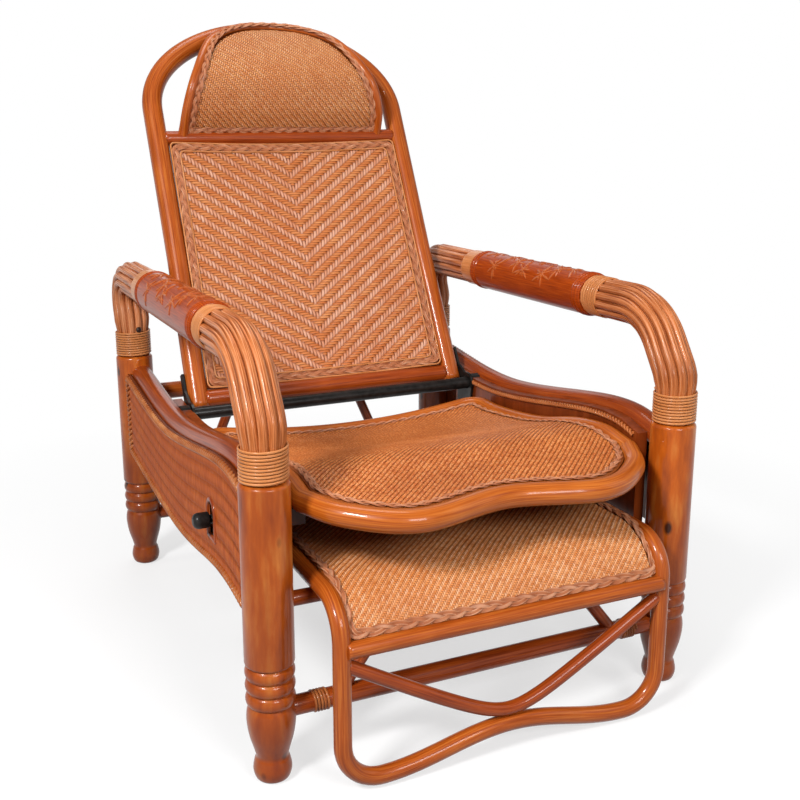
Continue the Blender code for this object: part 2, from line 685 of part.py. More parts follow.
for side, sign in sides():
    path = [(sign * RAIL_X, y, RAIL_TOP(y) - RAIL_RADIUS) for y in np.linspace(-LEG_Y, LEG_Y, SIDE_STEPS + 2)]
    rail = tube(f"side_rail_{side}", path, RAIL_RADIUS, DARK_CANE, CHAIR)
    outline = side_outline(BOARD_FRONT_Y, BOARD_REAR_Y, lambda y: RAIL_TOP(y) - BOARD_DROP,
                           lambda y: PANEL_LOW(y) + BOARD_RISE)
    board = plate(f"side_board_{side}", outline, sign * BOARD_IN, sign * BOARD_OUT, BOARD_WOOD, CHAIR)
    cut(board, slot_cutter(rod_slot, sign))
    bush_hole = rod_mesh((sign * (BOARD_IN - BOARD_WALL), PIVOT_Y, PIVOT_Z),
                         (sign * (BOARD_OUT + GAP / 2), PIVOT_Y, PIVOT_Z), BUSH_RADIUS + GAP, LEG_SIDES)
    cut(board, cutter(bush_hole, CHAIR))
    outline = side_outline(-LEG_Y, LEG_Y, lambda y: RAIL_TOP(y) - PANEL_DROP, PANEL_LOW)
    panel = plate(f"side_panel_{side}", outline, sign * PANEL_IN, sign * PANEL_OUT, WEAVE, CHAIR)
    cut(panel, slot_cutter(knob_slot, sign))
    for tool in LEG_CUTTERS:
        if tool.data.vertices[0].co.x * sign > 0:
            cut(rail, tool)
            cut(board, tool)
            cut(panel, tool)
    ring = ring_profile(BUSH_BORE, BUSH_RADIUS, -BOARD_WALL / 2, BOARD_WALL / 2)
    middle = (sign * (BOARD_IN + BOARD_OUT) / 2, PIVOT_Y, PIVOT_Z)
    turned(f"pivot_bush_{side}", ring, LEG_SIDES, STEEL, CHAIR, middle, (0, math.pi / 2, 0))


# Cross rails, stretchers and braces

def cross_rail(name, y, z, radius, material):
    """Run a round rail from leg to leg and fit its ends round the legs."""
    rail = add(name, rod_mesh((-LEG_X, y, z), (LEG_X, y, z), radius, RAIL_SIDES), material, CHAIR)
    for tool in LEG_CUTTERS:
        if tool.data.vertices[0].co.y * y > 0:
            cut(rail, tool)


def arch_brace(name, y, top_y, top_z):
    """Bend a cane from one end of a stretcher up to a rail and down again."""
    corners = [(-BRACE_HALF_SPAN, y, STRETCHER_Z), (-BRACE_TOP_HALF, top_y, top_z),
               (BRACE_TOP_HALF, top_y, top_z), (BRACE_HALF_SPAN, y, STRETCHER_Z)]
    brace = tube(name, rounded(corners, (BRACE_BEND, BRACE_BEND), steps=5), BRACE_RADIUS, CANE, CHAIR)
    seat = (STRETCHER_RADIUS + GAP) / math.cos(math.pi / POST_SIDES)
    cut(brace, cutter(rod_mesh((-LEG_X, y, STRETCHER_Z), (LEG_X, y, STRETCHER_Z), seat, POST_SIDES), CHAIR))


cross_rail("front_rod", FRONT_ROD_Y, FRONT_ROD_Z, FRONT_ROD_RADIUS, CANE)
cross_rail("rear_rail", LEG_Y, REAR_RAIL_Z, REAR_RAIL_RADIUS, CANE)
cross_rail("front_stretcher", -LEG_Y, STRETCHER_Z, STRETCHER_RADIUS, CANE)
cross_rail("rear_stretcher", LEG_Y, STRETCHER_Z, STRETCHER_RADIUS, CANE)
arch_brace("front_arch_brace", -LEG_Y, FRONT_ROD_Y, FRONT_ROD_Z - FRONT_ROD_RADIUS - BRACE_RADIUS - GAP)
arch_brace("rear_arch_brace", LEG_Y, LEG_Y, REAR_RAIL_Z - REAR_RAIL_RADIUS - BRACE_RADIUS - GAP)
for side, sign in sides():
    base = (sign * (BRACE_HALF_SPAN + 2 * BRACE_RADIUS), -LEG_Y, STRETCHER_Z)
    winding(f"stretcher_winding_{side}", base, (sign, 0, 0), STRETCHER_RADIUS, STRETCHER_WINDING_LOOPS, CHAIR)


# Seat

SEAT_HEIGHT = height_curve([
    (SEAT_LOBE_Y, SEAT_FRONT_Z), (SEAT_CORNER_Y, SEAT_CORNER_Z),
    (SEAT_CREST_Y, SEAT_CREST_Z), (SEAT_RISE_Y, SEAT_RISE_Z),
    (SEAT_MIDDLE_Y, SEAT_MIDDLE_Z), (SEAT_LOW_Y, SEAT_LOW_Z), (SEAT_REAR_Y, SEAT_REAR_Z)])


def seat_sag(x, y):
    """Give how far the seat hangs below its sides, most at the middle of the rear."""
    along = min(max((y - SEAT_CORNER_Y) / (SEAT_REAR_Y - SEAT_CORNER_Y), 0.0), 1.0)
    return SEAT_SAG * along ** 2 * (1 - (x / SEAT_FRAME_X) ** 2)


def seat_loop():
    """Give the seat frame's axis as a closed loop, from the rear middle round the right side."""
    front = smooth([(SEAT_FRAME_X, SEAT_CORNER_Y),
                    (SEAT_FRAME_X - SEAT_CORNER_IN, SEAT_CORNER_Y - SEAT_CORNER_OUT),
                    (SEAT_LOBE_X, SEAT_LOBE_Y), (0.0, SEAT_DIP_Y)], 13)
    rear = rounded([(0, SEAT_REAR_Y, 0), (SEAT_FRAME_X, SEAT_REAR_Y, 0), (SEAT_FRAME_X, SEAT_CORNER_Y, 0)],
                   (SEAT_REAR_BEND,), steps=4)
    half = [(SEAT_FRAME_X / 2, SEAT_REAR_Y)] + [(p.x, p.y) for p in rear[1:-1]]
    half += [(SEAT_FRAME_X, y) for y in np.linspace(SEAT_REAR_Y - SEAT_REAR_BEND, SEAT_CORNER_Y, 10)[1:-1]]
    half += [tuple(p) for p in front[:-1]]
    whole = [(0.0, SEAT_REAR_Y)] + half + [(0.0, SEAT_DIP_Y)] + [(-x, y) for x, y in half[::-1]]
    return [Vector((x, y, SEAT_HEIGHT(y) - seat_sag(x, y))) for x, y in whole]


def seat_mat_rings(loop):
    """Inset the frame's loop to its inner side and step it in towards the middle."""
    inset = SEAT_FRAME_RADIUS - GAP
    edge = []
    for k, point in enumerate(loop):
        along = loop[(k + 1) % len(loop)] - loop[k - 1]
        inward = Vector((along.y, -along.x, 0)).normalized()
        edge.append((point.x + inward.x * inset, point.y + inward.y * inset))
    centre_y = (SEAT_REAR_Y + SEAT_CORNER_Y) / 2
    rings = []
    for depth in (0.0, SEAT_MAT_WALL):
        for share in (1.0, 0.66, 0.33):
            flat = [(x * share, centre_y + (y - centre_y) * share) for x, y in edge]
            rings.append([(x, y, SEAT_HEIGHT(y) - seat_sag(x, y) + SEAT_MAT_RISE - depth) for x, y in flat])
    return rings[2::-1] + rings[3:]


def seat_underside(y):
    """Give the height of the frame's lower side along the seat's edge."""
    rise = SEAT_HEIGHT(y + SEAT_FRAME_RADIUS) - SEAT_HEIGHT(y - SEAT_FRAME_RADIUS)
    slope = rise / (2 * SEAT_FRAME_RADIUS)
    return SEAT_HEIGHT(y) - SEAT_FRAME_RADIUS * math.hypot(1.0, slope)


SEAT_LOOP = seat_loop()
tube("seat_frame", SEAT_LOOP, SEAT_FRAME_RADIUS, DARK_CANE, CHAIR, cyclic=True)
add("seat_mat", loft_mesh(seat_mat_rings(SEAT_LOOP), "seat_mat"), WEAVE, CHAIR)
for side, sign in sides():
    across = np.linspace(BEARER_FRONT_Y, BEARER_REAR_Y, 5)
    under = [(y, seat_underside(y) - 4 * GAP) for y in across]
    outline = under + [(y, z - BEARER_HEIGHT) for y, z in under[::-1]]
    bearer_out = BOARD_IN - GAP
    bearer_in = bearer_out - BEARER_WIDTH
    plate(f"seat_bearer_{side}", outline, sign * bearer_in, sign * bearer_out, BOARD_WOOD, CHAIR)


# Backrest

def stile_half(s):
    """Give the stile axis's distance from the middle plane at a height up the slope."""
    return float(np.interp(s, (0.0, BACK_TAPER_S), (BACK_FOOT_HALF, BACK_HALF)))


def back_path():
    """Run up one stile, over the half-oval arch and down the other stile."""
    stile = [(stile_half(s), s) for s in (0.0, BACK_TAPER_S / 2, BACK_TAPER_S, BACK_ARCH_S)]
    arch = [(BACK_HALF * math.cos(a), BACK_ARCH_S + (BACK_TOP_S - BACK_ARCH_S) * math.sin(a))
            for a in np.linspace(0, math.pi, 19)[1:-1]]
    whole = stile + arch + [(-x, s) for x, s in stile[::-1]]
    return [on_back(x, s) for x, s in whole]


def stile_cutters():
    """Make a cutter round each stile for the rails that butt against it."""
    reach = BACK_STILE_RADIUS + GAP / math.cos(math.pi / 8)
    tools = []
    for _, sign in sides():
        path = [on_back(sign * stile_half(s), s) for s in (-BACK_STILE_RADIUS, BACK_TAPER_S, BACK_ARCH_S)]
        tools.append(cutter(tube_mesh(path, reach), BACKREST))
    return tools


def head_curve():
    """Give the headrest's right edge, from the crossbar to the top, as (half width, s, forward)."""
    top = BACK_STILE_RADIUS + HEAD_CANE_RADIUS + 2 * GAP
    rise = HEAD_BULGE_S - CROSSBAR_S
    drop = HEAD_TOP_S - HEAD_BULGE_S
    shoulder = (HEAD_HALF + HEAD_BULGE_HALF) / 2 + HEAD_CANE_RADIUS
    low = [(HEAD_HALF, CROSSBAR_S, 0.0),
           (shoulder, CROSSBAR_S + rise * HEAD_SHOULDER[0], HEAD_BULGE * HEAD_SHOULDER[1]),
           (HEAD_BULGE_HALF, HEAD_BULGE_S, HEAD_BULGE)]
    high = [(HEAD_BULGE_HALF * width, HEAD_BULGE_S + drop * up, top + (HEAD_BULGE - top) * out)
            for width, up, out in (HEAD_CROWN, HEAD_PEAK)]
    return low + high + [(0.0, HEAD_TOP_S, top)]


def head_path():
    """Mirror the headrest's edge into one cane over the top."""
    right = smooth(head_curve(), 13)
    whole = [tuple(p) for p in right] + [(-x, s, d) for x, s, d in right[-2::-1]]
    return [on_back(x, s, d) for x, s, d in whole]


def head_mat_grid(back):
    """Give the headrest mat's points inside its cane, moved back by a depth."""
    edge = smooth(head_curve(), 60)
    inset = HEAD_CANE_RADIUS + 2 * GAP
    low = CROSSBAR_S + CROSSBAR_RADIUS
    rows = []
    for s in np.linspace(low, HEAD_TOP_S - HEAD_MAT_DROP, 9):
        half = float(np.interp(s, edge[:, 1], edge[:, 0]))
        slope = abs(float(np.interp(s + inset, edge[:, 1], edge[:, 0])) - half) / inset
        half -= inset * math.hypot(1.0, slope)
        forward = float(np.interp(s, edge[:, 1], edge[:, 2])) - back
        rows.append([on_back(half * u, s, forward) for u in np.linspace(-1, 1, 9)])
    return rows


def back_mat_grid(forward):
    """Give the back mat's points between stiles and rails, hollowed at the middle."""
    low = 2 * BOTTOM_RAIL_RADIUS + GAP
    high = CROSSBAR_S - CROSSBAR_RADIUS - GAP
    rows = []
    for s in np.linspace(low, high, 9):
        half = stile_half(s) - BACK_STILE_RADIUS
        rows.append([on_back(half * u, s, forward - BACK_MAT_HOLLOW * (1 - u * u))
                     for u in np.linspace(-1, 1, 9)])
    return rows


tube("back_frame", back_path(), BACK_STILE_RADIUS, CANE, BACKREST)
bottom = on_back(0, BOTTOM_RAIL_RADIUS)
half_span = Vector((BACK_FOOT_HALF, 0, 0))
bottom_mesh = rod_mesh(bottom - half_span, bottom + half_span, BOTTOM_RAIL_RADIUS, RAIL_SIDES)
bottom_rail = add("back_bottom_rail", bottom_mesh, CANE, BACKREST)
bar = on_back(0, CROSSBAR_S)
half_span = Vector((BACK_HALF, 0, 0))
crossbar_mesh = rod_mesh(bar - half_span, bar + half_span, CROSSBAR_RADIUS, RAIL_SIDES)
crossbar = add("back_crossbar", crossbar_mesh, DARK_CANE, BACKREST)
for tool in stile_cutters():
    cut(bottom_rail, tool)
    cut(crossbar, tool)
back_mat_rear = back_mat_grid(BACK_MAT_FORWARD - BACK_MAT_WALL)
back_mat = sheet_mesh(back_mat_grid(BACK_MAT_FORWARD), back_mat_rear, "back_mat")
add("back_mat", back_mat, WEAVE, BACKREST)
head_frame = tube("headrest_frame", head_path(), HEAD_CANE_RADIUS, CANE, BACKREST)
seat_reach = (CROSSBAR_RADIUS + GAP) / math.cos(math.pi / RAIL_SIDES)
bar_seat = rod_mesh(bar - half_span, bar + half_span, seat_reach, RAIL_SIDES)
cut(head_frame, cutter(bar_seat, BACKREST))
head_mat_rear = head_mat_grid(HEAD_MAT_WALL / 2)
head_mat = sheet_mesh(head_mat_grid(-HEAD_MAT_WALL / 2), head_mat_rear, "headrest_mat")
add("headrest_mat", head_mat, WEAVE, BACKREST)


# Backrest pivot

def round_pivot(angle, radius):
    """Place a point round the pivot in the (y, z) plane."""
    return (PIVOT_Y + radius * math.cos(angle), PIVOT_Z + radius * math.sin(angle))


def bracket_outline():
    """Draw a bracket: notched quadrant below the pivot, eye round it, arm up the stile."""
    rim = [round_pivot(QUADRANT_START, QUADRANT_RADIUS)]
    for k in range(NOTCH_COUNT):
        middle = PAWL_ANGLE + NOTCH_ANGLE / 4 + RECLINE * k / (NOTCH_COUNT - 1)
        rim.append(round_pivot(middle - NOTCH_ANGLE / 2, QUADRANT_RADIUS))
        rim.append(round_pivot(middle, QUADRANT_RADIUS - NOTCH_DEPTH))
        rim.append(round_pivot(middle + NOTCH_ANGLE / 2, QUADRANT_RADIUS))
    rim.append(round_pivot(QUADRANT_END, QUADRANT_RADIUS))
    half = BRACKET_ARM_WIDTH / 2
    arm = [on_back(0, 0, -half), on_back(0, BRACKET_ARM_S, -half), on_back(0, BRACKET_ARM_S, half),
           on_back(0, 2 * BOTTOM_RAIL_RADIUS, half)]
    eye = [round_pivot(a, BRACKET_RADIUS) for a in np.linspace(math.pi / 3, math.pi * 7 / 6, 7)]
    return rim + [(p.y, p.z) for p in arm] + eye


tube_end = BOARD_OUT - GAP
pivot_ring = ring_profile(PIVOT_RADIUS - PIVOT_WALL, PIVOT_RADIUS, -tube_end, tube_end)
turned("pivot_tube", pivot_ring, LEG_SIDES, STEEL, BACKREST, PIVOT, (0, math.pi / 2, 0))
for side, sign in sides():
    bracket = plate(f"back_bracket_{side}", bracket_outline(), sign * PLATE_IN, sign * PLATE_OUT,
                    STEEL, BACKREST)
    hole = rod_mesh((sign * (PLATE_IN - BRACKET_WALL), PIVOT_Y, PIVOT_Z),
                    (sign * (PLATE_OUT + BRACKET_WALL), PIVOT_Y, PIVOT_Z),
                    BUSH_BORE, LEG_SIDES)
    cut(bracket, cutter(hole, BACKREST))


# Release lever

def lever_outline():
    """Draw a lever bar: an eye on the rod, a straight bar and an upright pawl at its rear end."""
    tip_y, tip_z = round_pivot(PAWL_ANGLE, QUADRANT_RADIUS + RIM_PLAY)
    rear_z = tip_z - PAWL_LENGTH - LEVER_BAR_HEIGHT / 2
    half = LEVER_BAR_HEIGHT / 2
    eye = [(SLOT_Y + LEVER_EYE_RADIUS * math.cos(a), LEVER_ROD_Z + LEVER_EYE_RADIUS * math.sin(a))
           for a in np.linspace(math.pi / 4, math.pi * 7 / 4, 9)]
    rear = [(tip_y + PAWL_WIDTH / 2 + half, rear_z - half), (tip_y + PAWL_WIDTH / 2 + half, rear_z + half),
            (tip_y + PAWL_WIDTH / 2, tip_z), (tip_y - PAWL_WIDTH / 2, tip_z),
            (tip_y - PAWL_WIDTH, rear_z + half)]
    return eye + rear


for side, sign in sides():
    lever_bar = plate(f"lever_bar_{side}", lever_outline(), sign * PLATE_IN, sign * PLATE_OUT, STEEL, LEVER)
    for y, z, radius in ((SLOT_Y, LEVER_ROD_Z, LEVER_ROD_RADIUS), (LEVER_Y, LEVER_Z, LEVER_PIN_RADIUS)):
        hole = rod_mesh((sign * (PLATE_IN - BRACKET_WALL), y, z), (sign * (PLATE_OUT + BRACKET_WALL), y, z),
                        (radius + PIN_PLAY) / math.cos(math.pi / RAIL_SIDES), RAIL_SIDES)
        cut(lever_bar, cutter(hole, LEVER))
    shank = BOARD_IN - GAP
    head = PLATE_IN - GAP
    pin = [(0.0, shank), (LEVER_PIN_RADIUS, shank), (LEVER_PIN_RADIUS, head), (2 * LEVER_PIN_RADIUS, head),
           (2 * LEVER_PIN_RADIUS, head - LEVER_PIN_HEAD), (0.0, head - LEVER_PIN_HEAD)]
    turned(f"lever_pin_{side}", pin, 12, STEEL, CHAIR, FULCRUM, (0, sign * math.pi / 2, 0))
    cap_end = KNOB_START + KNOB_LENGTH
    cap = [(0.0, cap_end), (KNOB_RADIUS - KNOB_ROUND, cap_end),
           (KNOB_RADIUS - KNOB_ROUND / 3, cap_end - KNOB_ROUND / 3),
           (KNOB_RADIUS, cap_end - KNOB_ROUND), (KNOB_RADIUS, KNOB_START), (0.0, KNOB_START)]
    turned(f"knob_{side}", cap, 12, RUBBER, LEVER, (0, SLOT_Y, LEVER_ROD_Z), (0, sign * math.pi / 2, 0))
rod_end = KNOB_START - GAP
lever_rod = rod_mesh((-rod_end, SLOT_Y, LEVER_ROD_Z), (rod_end, SLOT_Y, LEVER_ROD_Z),
                     LEVER_ROD_RADIUS, RAIL_SIDES)
add("lever_rod", lever_rod, STEEL, LEVER)


# Footrest

FOOT_LOW_Z = FOOT_LIFT + FOOT_CANE_RADIUS


def foot_path():
    """Run a cane from under the seat forward, down, along the wavy foot and back on the other side."""
    corners = [(0, FOOT_REAR_Y, FOOT_CANE_Z), (0, FOOT_PLANE_Y, FOOT_CANE_Z), (0, FOOT_PLANE_Y, 0)]
    side = rounded(corners, (FOOT_BEND,), steps=5)
    right = [(FOOT_HALF, p.y, p.z) for p in side[:-1]]
    bend = FOOT_HALF - FOOT_CORNER_X
    for a in np.linspace(0, math.pi / 2, 6):
        height = FOOT_LOW_Z + bend * (1 - math.sin(a))
        right.append((FOOT_CORNER_X + bend * math.cos(a), FOOT_PLANE_Y, height))
    wave = [(x, FOOT_PLANE_Y, FOOT_LOW_Z + FOOT_HUMP * (0.5 + 0.5 * math.cos(math.pi * x / FOOT_CORNER_X)))
            for x in np.linspace(FOOT_CORNER_X, -FOOT_CORNER_X, 15)[1:-1]]
    return right + wave + [(-x, y, z) for x, y, z in right[::-1]]


def brace_path():
    """Draw the V brace as a hyperbola that stands on the loop's hump."""
    foot = FOOT_LOW_Z + FOOT_HUMP + FOOT_CANE_RADIUS + FOOT_V_RADIUS + GAP
    spread = math.hypot(FOOT_HALF, FOOT_V_BEND) - FOOT_V_BEND
    rise = (FOOT_V_TOP_Z - foot) / spread
    return [(x, FOOT_PLANE_Y, foot + rise * (math.hypot(x, FOOT_V_BEND) - FOOT_V_BEND))
            for x in np.linspace(-FOOT_HALF, FOOT_HALF, 15)]


def foot_mat_grid(inward):
    """Give the footrest mat's points from its rear edge forward and down to the front bar."""
    top = FOOT_CANE_Z + FOOT_CROSS_RADIUS + GAP + FOOT_MAT_WALL - inward
    bend = FOOT_MAT_BEND - inward
    centre_y = FOOT_BAR_Y + FOOT_MAT_BEND
    centre_z = top - bend
    low = math.asin((FOOT_BAR_Z + FOOT_BAR_RADIUS + 2 * GAP - centre_z) / bend)
    side = [(FOOT_REAR_Y, top), (FOOT_MIDDLE_Y, top)]
    side += [(centre_y - bend * math.cos(a), centre_z + bend * math.sin(a))
             for a in np.linspace(math.pi / 2, low, 7)]
    half = FOOT_HALF - FOOT_CANE_RADIUS - 3 * GAP
    return [[(half * u, y, z) for u in np.linspace(-1, 1, 5)] for y, z in side]


tube("footrest_loop", foot_path(), FOOT_CANE_RADIUS, CANE, FOOTREST)
brace = tube("footrest_brace", brace_path(), FOOT_V_RADIUS, CANE, FOOTREST)
front_bar = add("footrest_bar", rod_mesh((-FOOT_HALF, FOOT_BAR_Y, FOOT_BAR_Z),
                                         (FOOT_HALF, FOOT_BAR_Y, FOOT_BAR_Z),
                                         FOOT_BAR_RADIUS, THIN_SIDES), CANE, FOOTREST)
for side, sign in sides():
    reach = (FOOT_CANE_RADIUS + GAP) / math.cos(math.pi / POST_SIDES)
    post = rod_mesh((sign * FOOT_HALF, FOOT_PLANE_Y, 0),
                    (sign * FOOT_HALF, FOOT_PLANE_Y, FOOT_CANE_Z), reach, POST_SIDES)
    tool = cutter(post, FOOTREST)
    cut(brace, tool)
    cut(front_bar, tool)
    runner_in = FOOT_HALF - FOOT_CANE_RADIUS
    runner = [(RUNNER_FRONT_Y, RUNNER_TOP - RUNNER_HEIGHT), (RUNNER_REAR_Y, RUNNER_TOP - RUNNER_HEIGHT),
              (RUNNER_REAR_Y, RUNNER_TOP), (RUNNER_FRONT_Y, RUNNER_TOP)]
    plate(f"footrest_runner_{side}", runner, sign * runner_in, sign * (BOARD_IN - GAP), BOARD_WOOD, CHAIR)
bar_half = FOOT_HALF - FOOT_CANE_RADIUS - GAP
rear_bar_y = FOOT_REAR_Y - 2 * FOOT_CROSS_RADIUS
for name, y in (("footrest_middle_bar", FOOT_MIDDLE_Y), ("footrest_rear_bar", rear_bar_y)):
    bar_mesh = rod_mesh((-bar_half, y, FOOT_CANE_Z), (bar_half, y, FOOT_CANE_Z), FOOT_CROSS_RADIUS, THIN_SIDES)
    add(name, bar_mesh, CANE, FOOTREST)
foot_mat = sheet_mesh(foot_mat_grid(0.0), foot_mat_grid(FOOT_MAT_WALL), "footrest_mat")
add("footrest_mat", foot_mat, WEAVE, FOOTREST)
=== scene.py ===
# %% [markdown]
# # A rattan recliner
# This lesson dresses the CAD model of a rattan recliner for a photograph. The CAD model gives the
# frame: where each piece sits and which piece turns or slides. Each step here makes one kind of
# piece as a numpy grid of points, gives it a material and hangs it on the body it moves with.

# %% Load the frame
import math
import bpy
import numpy as np
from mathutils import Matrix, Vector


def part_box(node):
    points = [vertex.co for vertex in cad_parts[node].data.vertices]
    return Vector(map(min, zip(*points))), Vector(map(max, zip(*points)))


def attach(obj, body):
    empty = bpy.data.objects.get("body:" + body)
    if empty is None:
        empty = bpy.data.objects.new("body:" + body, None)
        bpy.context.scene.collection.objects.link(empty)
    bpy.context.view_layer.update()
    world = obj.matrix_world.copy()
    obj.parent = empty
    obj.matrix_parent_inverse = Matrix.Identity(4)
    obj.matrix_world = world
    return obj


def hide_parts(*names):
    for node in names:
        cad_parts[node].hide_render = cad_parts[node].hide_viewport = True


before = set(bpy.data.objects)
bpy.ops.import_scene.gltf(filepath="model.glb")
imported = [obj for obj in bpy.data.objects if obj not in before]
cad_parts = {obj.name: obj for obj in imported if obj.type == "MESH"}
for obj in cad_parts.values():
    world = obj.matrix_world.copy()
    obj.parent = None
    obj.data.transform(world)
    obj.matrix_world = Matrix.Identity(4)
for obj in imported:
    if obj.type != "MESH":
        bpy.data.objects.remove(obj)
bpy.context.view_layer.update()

rng = np.random.default_rng(7)

# %% [markdown]
# ## Where things are
# The chair was drawn with its legs centred on the origin and then moved a little along Y, so that
# the middle of its box is on the origin. The boxes of the CAD legs tell how far. Every piece below
# is drawn in the drawing frame, in metres, and one function moves it.

# %% Read the drawing's origin from the legs
low_front, high_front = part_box("leg_front_left")
low_rear, high_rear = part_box("leg_rear_left")
SHIFT = (low_front.y + high_front.y + low_rear.y + high_rear.y) / 4
LEG_X = -(low_front.x + high_front.x) / 2
LEG_Y = (low_rear.y + high_rear.y) / 2 - SHIFT
MM = 0.001
X_AXIS, Z_AXIS = np.array([1.0, 0.0, 0.0]), np.array([0.0, 0.0, 1.0])
SIDES = (("left", -1.0), ("right", 1.0))
LEGS = [(f"{end}_{side}", np.array([sign * LEG_X, y, 0.0]))
        for end, y in (("front", -LEG_Y), ("rear", LEG_Y)) for side, sign in SIDES]
print(f"drawing origin at y = {SHIFT:.4f} m, legs at x {LEG_X:.3f}, y {LEG_Y:.3f}")

# %% [markdown]
# ## Grids of points become meshes
# Almost everything on this chair is a strip or a tube: a cane, a strand, a plait. They could be
# Blender curves with a bevel, but a curve gives no attributes for the weave. Here a strip is a grid
# of points, and a tube is a grid whose rows close into rings. One function turns a stack of such
# grids into one mesh, writes a UV map in metres (U along, V around) and keeps any extra number per
# point, such as a tint, as an attribute that the material can read.

# %% Build a piece from grids
def build(name, points, material, body, nodes=(), ring=True, loop=False, marks=None):
    """Join grids of shape (k, n, m, 3) into one piece.

    Grid point (i, j) has the quad (i, j), (i, j + 1), (i + 1, j + 1), (i + 1, j). With ring the
    last column joins the first, with loop the last row joins the first, and a tube's open ends
    get a flat cap. U is the length along i and V the length along j. Round a ring V runs to the far
    side and back, so that a pattern has no seam.
    """
    points = np.asarray(points, float)
    points = points[None] if points.ndim == 3 else points
    k, n, m, _ = points.shape
    ids = np.arange(k * n * m).reshape(k, n, m)
    wide, ids_wide = points, ids
    if ring:
        wide = np.concatenate([wide, wide[:, :, :1]], 2)
        ids_wide = np.concatenate([ids_wide, ids_wide[:, :, :1]], 2)
    if loop:
        wide = np.concatenate([wide, wide[:, :1]], 1)
        ids_wide = np.concatenate([ids_wide, ids_wide[:, :1]], 1)
    step_u = np.linalg.norm(np.diff(wide, axis=1), axis=-1).mean(2)
    step_v = np.linalg.norm(np.diff(wide, axis=2), axis=-1).mean(1)
    u = np.pad(np.cumsum(step_u, 1), ((0, 0), (1, 0)))[:, :, None] + np.zeros(ids_wide.shape)
    v = np.pad(np.cumsum(step_v, 1), ((0, 0), (1, 0)))[:, None, :] + np.zeros(ids_wide.shape)
    v = np.minimum(v, v[:, :, -1:] - v) if ring else v
    corners = [np.stack([a[:, :-1, :-1], a[:, :-1, 1:], a[:, 1:, 1:], a[:, 1:, :-1]], -1)
               for a in (ids_wide, u, v)]
    quads = corners[0].reshape(-1, 4)
    uv = np.stack([corners[1].reshape(-1), corners[2].reshape(-1)], -1)
    caps = np.zeros((0, m), int)
    if ring and not loop:
        caps = np.concatenate([ids[:, 0, ::-1], ids[:, -1, :]])
        uv = np.concatenate([uv, np.zeros((caps.size, 2))])
    mesh = bpy.data.meshes.new(name)
    moved = points.reshape(-1, 3) + (0.0, SHIFT, 0.0)
    mesh.from_pydata(moved.tolist(), [], quads.tolist() + caps.tolist())
    mesh.uv_layers.new(name="UVMap").uv.foreach_set("vector", uv.astype(np.float32).ravel())
    smooth = np.arange(len(quads) + len(caps)) < len(quads)
    mesh.polygons.foreach_set("use_smooth", smooth)
    for mark, values in (marks or {}).items():
        spread = np.broadcast_to(values, (k, n, m)).astype(np.float32).ravel()
        mesh.attributes.new(mark, "FLOAT", "POINT").data.foreach_set("value", spread)
    mesh.materials.append(material)
    piece = bpy.data.objects.new(name, mesh)
    bpy.context.collection.objects.link(piece)
    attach(piece, body)
    if nodes:
        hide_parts(*nodes)
    print(f"{name}: {len(quads) + len(caps)} faces")


# %% [markdown]
# ## Paths
# A cane follows a path. Corners are rounded with an arc, free curves go through their points with
# a Catmull-Rom spline, and both are then respaced so that the rings of the tube are even. Blender's
# own curves could do this too, but a path in numpy can also be moved, mirrored and measured.

# %% Make paths
def unit(vectors):
    """Scale vectors to length one."""
    return vectors / np.linalg.norm(vectors, axis=-1, keepdims=True)


def run(path):
    """Give the length along a path at each of its points, the sum of its steps."""
    return np.concatenate([[0.0], np.cumsum(np.linalg.norm(np.diff(path, axis=0), axis=1))])


def respace(path, step, loop=False):
    """Place points at even distances along a path, about one step apart."""
    path = np.asarray(path, float)
    path = np.concatenate([path, path[:1]]) if loop else path
    length = run(path)
    count = max(int(round(length[-1] / step)), 3)
    at = np.linspace(0.0, length[-1], count + 1)
    at = at[:-1] if loop else at
    return np.stack([np.interp(at, length, path[:, c]) for c in range(path.shape[1])], -1)


def spline(points, steps=12):
    """Catmull-Rom: p(t) = (2b + (c-a)t + (2a-5b+4c-d)t^2 + (3b-a-3c+d)t^3) / 2 on each span b to c."""
    p = np.asarray(points, float)
    p = np.concatenate([2 * p[:1] - p[1:2], p, 2 * p[-1:] - p[-2:-1]])
    a, b, c, d = (p[i:len(p) - 3 + i, None] for i in range(4))
    t = np.linspace(0.0, 1.0, steps, endpoint=False)[None, :, None]
    span = (2 * b + (c - a) * t + (2 * a - 5 * b + 4 * c - d) * t ** 2 + (3 * b - a - 3 * c + d) * t ** 3) / 2
    return np.concatenate([span.reshape(-1, p.shape[1]), p[-2:-1]])


def rounded(corners, bends, steps=10):
    """Round each inner corner of a polyline with an arc of its own bend radius.

    With h half the angle between the two sides, the arc starts bend / tan(h) from the corner, and
    its centre lies bend / sin(h) from it. The arc turns by pi - 2h.
    """
    corners = np.asarray(corners, float)
    out = [corners[:1]]
    for before, at, after, bend in zip(corners, corners[1:], corners[2:], bends):
        a, b = unit(before - at), unit(after - at)
        half = math.acos(float(np.clip(a @ b, -1.0, 1.0))) / 2
        centre = at + unit(a + b) * bend / math.sin(half)
        first, last = at + a * bend / math.tan(half), at + b * bend / math.tan(half)
        turn = math.pi - 2 * half
        t = np.linspace(0.0, 1.0, steps + 1)[:, None]
        arc = (first - centre) * np.sin((1 - t) * turn) + (last - centre) * np.sin(t * turn)
        out.append(centre + arc / math.sin(turn))
    return np.concatenate(out + [corners[-1:]])


def heights(pairs):
    """Give a smooth height function z(y) through (y, z) pairs, as a dense Catmull-Rom table."""
    curve = spline(pairs, 24)
    return lambda y: np.interp(y, curve[:, 0], curve[:, 1])


def along_x(x, y, z):
    """A straight path along X at one y and one z."""
    return np.stack([x, np.full_like(x, y), np.full_like(x, z)], -1)


